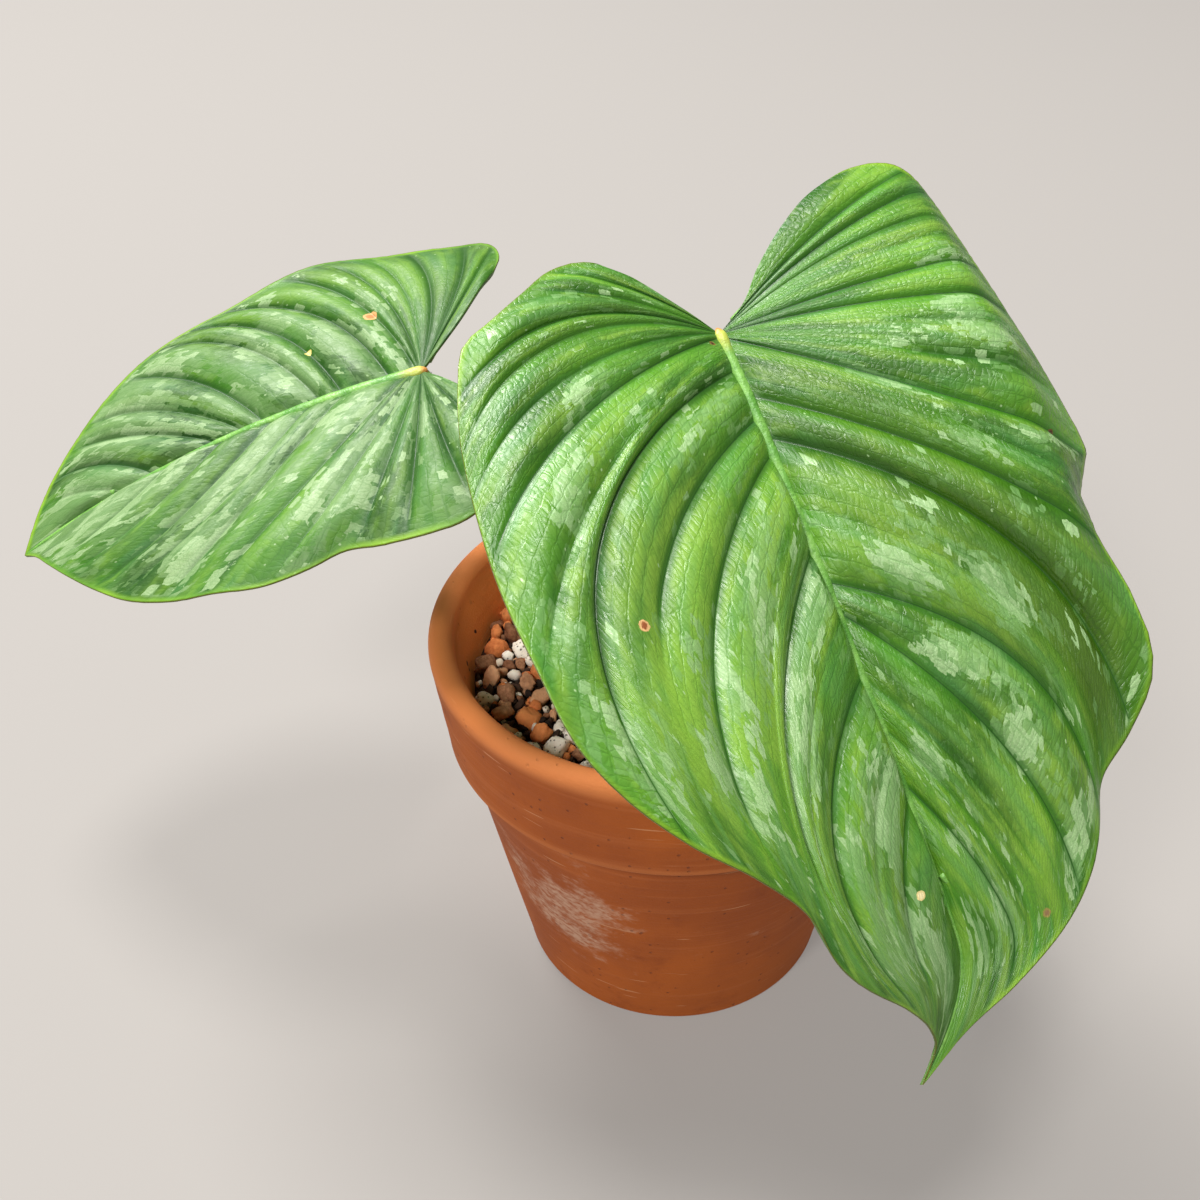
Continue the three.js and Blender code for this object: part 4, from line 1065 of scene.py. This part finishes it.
def mix_body(rings=46, sides=120):
    """The body of the mix, with a rough top."""
    top = inner_radius(MIX_TOP) - 0.5
    angle = circle(sides)
    points = []
    for i in range(rings):
        radius = top * (i + 0.5) / rings
        x, y = radius * np.cos(angle), radius * np.sin(angle)
        height = np.array([mix_height(a, b) for a, b in zip(x, y)]) - 1.2
        height += 0.9 * soft_noise(x * 0.4 + 30, y * 0.4 + 30, 3) + 0.4 * soft_noise(x + 40, y + 40, 4)
        points.append(np.stack([x, y, height], -1))
    for height in (60.0, 12.0):
        points.append(ring(inner_radius(height) - 0.5, angle, height))
    return np.concatenate(points), turned(tube_faces(len(points), sides))


BRISTLE_FACES = [[0, 1, 3], [1, 2, 3], [2, 0, 3], [2, 1, 0]]


def bristles(centres, radii, rng, count=420, length=1.1, thickness=0.16):
    """Short soft bristles standing out of a tube."""
    along = unit(np.gradient(centres, axis=0))
    parts = []
    for _ in range(count):
        i = rng.integers(2, len(centres) - 2)
        direction = unit(np.cross(along[i], rng.normal(size=3)))
        foot = centres[i] + along[i] * rng.uniform(-0.5, 0.5) + direction * radii[i] * 0.9
        lean = unit(direction + along[i] * rng.uniform(0.1, 0.6))
        reach = length * rng.uniform(0.6, 1.2)
        side = unit(np.cross(lean, along[i]))
        other = np.cross(lean, side)
        corners = [foot + thickness * (side * math.cos(a) + other * math.sin(a)) for a in (0, 2.1, 4.2)]
        parts.append((np.array(corners + [foot + lean * reach]), BRISTLE_FACES))
    return join(parts)


def add_stalk(name, leaf, material, node, route, thick, thin, seed):
    """A bristly stalk along its route from the stem to the back of its blade, with a knee under it."""
    depth = 1.1 + leaf.rib_depth
    under = [leaf.sheet(leaf.halves[0], np.zeros((1, 2)), -drop)[0] for drop in (depth + 8, depth - 1.6)]
    route = curve_through(route + under, 14)
    share = np.linspace(0, 1, len(route))
    radii = mix(thick, thin, share) + 0.25 * bell(share, 0.95, 0.06)
    body = tube_mesh(route, (0.13, 0.05, 1.0), radii, 20)
    shape = join([body, bristles(route, radii, np.random.default_rng(seed))])
    return add_piece(name, shape, material, (node,))


SHEATH_ROUTE = [(9, 12, 106), (11, 13, 116), (12.5, 12.5, 128), (13, 11.5, 142)]
SHEATH_RADIUS = 3.2
SHEATH_TIP = 0.5


def add_stem(material, count=60):
    """The stem with its leaf scars and rounded top, and the pointed sheath of the next leaf."""
    share = np.arange(count + 1) / count
    scar = 0.55 * bell((share * 7) % 1, 0.5, 0.12)
    closing = np.sqrt(np.maximum(0.0, 1 - ((share - 0.86) / 0.142) ** 2))
    radii = np.maximum((STEM_RADIUS - 0.8 + scar) * np.where(share > 0.86, closing, 1), 0.05)
    height = STEM_FOOT + share * (STEM_TOP - STEM_FOOT)
    centres = np.stack([0 * share + STEM_AT[0], 0 * share + STEM_AT[1], height], 1)
    body = tube_mesh(centres, (0, 1.0, 0), radii, 40)
    route = curve_through(SHEATH_ROUTE, 12)
    radii = mix(SHEATH_RADIUS, SHEATH_TIP, np.linspace(0, 1, len(route)) ** 1.4)
    sheath = tube_mesh(route, (1.0, 0.1, 0.1), radii, 18)
    return add_piece("stem_body", join([body, sheath]), material, ("stem",))


# The floor glows a little, as a table lit from below does, so that the shadows on it are light
FLOOR_COLOUR = (128, 125, 122)
FLOOR_GLOW = (206, 200, 195)
FLOOR_GLOW_STRENGTH = 0.37
FLOOR_HALF_SIZE = 6.0


def add_floor():
    mesh = bpy.data.meshes.new("floor")
    size = FLOOR_HALF_SIZE
    corners = [(-size, -size, 0), (size, -size, 0), (size, size, 0), (-size, size, 0)]
    mesh.from_pydata(corners, [], [(0, 1, 2, 3)])
    glow = dict(Emission_Color=FLOOR_GLOW, Emission_Strength=FLOOR_GLOW_STRENGTH)
    mesh.materials.append(Paint("floor", FLOOR_COLOUR).finish(0.9, Specular_IOR_Level=0.2, **glow))
    floor = bpy.data.objects.new("floor", mesh)
    bpy.context.scene.collection.objects.link(floor)


# Soft lights that are aimed at the plant: place, size and power. The key light comes from behind on the left.
LIGHT_AIM = (0.03, 0.0, 0.1)
LIGHT_COLOUR = (1.0, 0.985, 0.96)
LIGHTS = dict(
    key=((-1.3, 1.2, 2.4), 1.4, 116.0),
    top=((0.1, 0.0, 2.6), 0.7, 40.0),
    side=((-0.9, -1.7, 2.1), 0.6, 35.0),
)
SKY_COLOUR = (1.0, 0.98, 0.95, 1)
SKY_STRENGTH = 0.22


def add_aimed(name, data, at, aim, roll=0.0):
    """A light or camera at its place, turned to what it is aimed at and rolled."""
    thing = bpy.data.objects.new(name, data)
    turn = (Vector(aim) - Vector(at)).to_track_quat("-Z", "Y").to_matrix()
    thing.rotation_euler = (turn @ Matrix.Rotation(roll, 3, "Z")).to_euler()
    thing.location = at
    bpy.context.scene.collection.objects.link(thing)
    return thing


def add_lights():
    for name, (at, size, power) in LIGHTS.items():
        data = bpy.data.lights.new(name, "AREA")
        data.shape = "DISK"
        data.size = size
        data.energy = power
        data.color = LIGHT_COLOUR
        add_aimed(name, data, at, LIGHT_AIM)
    world = bpy.data.worlds.new("studio")
    world.use_nodes = True
    background = world.node_tree.nodes["Background"]
    background.inputs[0].default_value = SKY_COLOUR
    background.inputs[1].default_value = SKY_STRENGTH
    bpy.context.scene.world = world


# The camera that was fitted to the pot in the photograph, for an image of 1200 by 1200
CAMERA_PLACE = (0.0, -286.44, 345.51)
CAMERA_TARGET = (-19.74, 0.0, 118.46)
CAMERA_ROLL = math.radians(-1.79)
FOCAL_PIXELS = 1400
IMAGE_PIXELS = 1200
SENSOR_WIDTH = 36


def add_camera():
    data = bpy.data.cameras.new("camera")
    data.sensor_width = SENSOR_WIDTH
    data.lens = SENSOR_WIDTH * FOCAL_PIXELS / IMAGE_PIXELS
    data.clip_start = 0.01
    camera = add_aimed("camera", data, place(CAMERA_PLACE), place(CAMERA_TARGET), CAMERA_ROLL)
    bpy.context.scene.camera = camera


# The leaves' looks, of the large leaf and of the small one
LEAF_LOOKS = dict(
    deep=((34, 88, 10), (24, 68, 8)),
    green=((76, 136, 26), (58, 112, 22)),
    pale=((124, 178, 70), (92, 142, 50)),
    under=((112, 152, 74), (108, 148, 72)),
    yellow=((150, 190, 66), (124, 166, 56)),
    bluish=((78, 140, 70), (62, 112, 60)),
    dusky=((58, 90, 8), (24, 66, 14)),
    # line is the thin dark line of painted shade in each crease
    line=((20, 66, 8), (20, 64, 10)),
    silver=((120, 164, 98), (104, 138, 82)),
    silver_light=((166, 198, 142), (150, 176, 128)),
    # crest is the colour of the painted highlight on the puffs' crests
    crest=((146, 190, 92), (130, 168, 92)),
    yellow_share=(0.5, 0.45),
    patch_size=(1.0, 1.5),
    silver_limit=(0.9, 0.78),
    veil_limit=(0.85, 0.76),
    # crease_shade is how far from the crease, and how strongly, the painted shade is laid
    crease_shade=((1.6, 0.5), (2.3, 0.6)),
    relief=(0.5, 0.25),
    rough=(0.3, 0.42),
    shine=(0.55, 0.35),
)
LARGE_SPOTS = (
    (63, -52, 1.3, (222, 176, 120), (150, 84, 48)),
    (133, -10, 1.2, (226, 206, 140), (240, 222, 170)),
    (149, 21, 1.1, (150, 140, 70), (146, 116, 76)),
    (48, 65, 0.9, (96, 66, 30), (60, 36, 20)),
    (3, -4, 0.8, (120, 92, 40), (54, 34, 20)),
)
SMALL_SPOTS = (
    (13, -24, 1.9, (206, 160, 104), (186, 124, 76)),
    (30, -18, 1.0, (206, 190, 110), (214, 200, 130)),
)

# Stalks: route up to the blade, radius at both ends, and the seed of the bristles
LARGE_STALK = dict(
    route=[(5, 12, 108), (6.5, 14, 118), (10, 20, 140), (12, 22, 162)], thick=3.6, thin=2.2, seed=31
)
SMALL_STALK = dict(
    route=[(-1, 9, 106), (-4, 10, 114), (-18, 14, 132), (-42, 17, 152)], thick=2.9, thin=1.6, seed=32
)

# Assembly
bpy.context.scene.view_settings.view_transform = "Standard"
add_camera()
add_floor()
add_lights()
add_piece("clay_pot", pot_shape(), clay_material(), ("pot",))
add_piece("mix_bed", mix_body(), soil_material(), ("potting_mix",))
add_bits()

leaves = (
    ("large", Leaf(LARGE_LEAF), LARGE_SPOTS, LARGE_STALK),
    ("small", Leaf(SMALL_LEAF), SMALL_SPOTS, SMALL_STALK),
)
for which, (size, leaf, spots, _) in enumerate(leaves):
    look = {key: pair[which] for key, pair in LEAF_LOOKS.items()}
    add_blade(size + "_leaf_blade", leaf, leaf_material(size + "_leaf", look, spots), f"leaf_{size}_blade")
rib_look = rib_material()
for size, leaf, *_ in leaves:
    add_ribs(size + "_leaf_ribs", leaf, rib_look)
stalk_look = stalk_material()
for size, leaf, _, stalk in leaves:
    add_stalk(size + "_leaf_stalk", leaf, stalk_look, f"leaf_{size}_stalk", **stalk)
add_stem(stem_material())
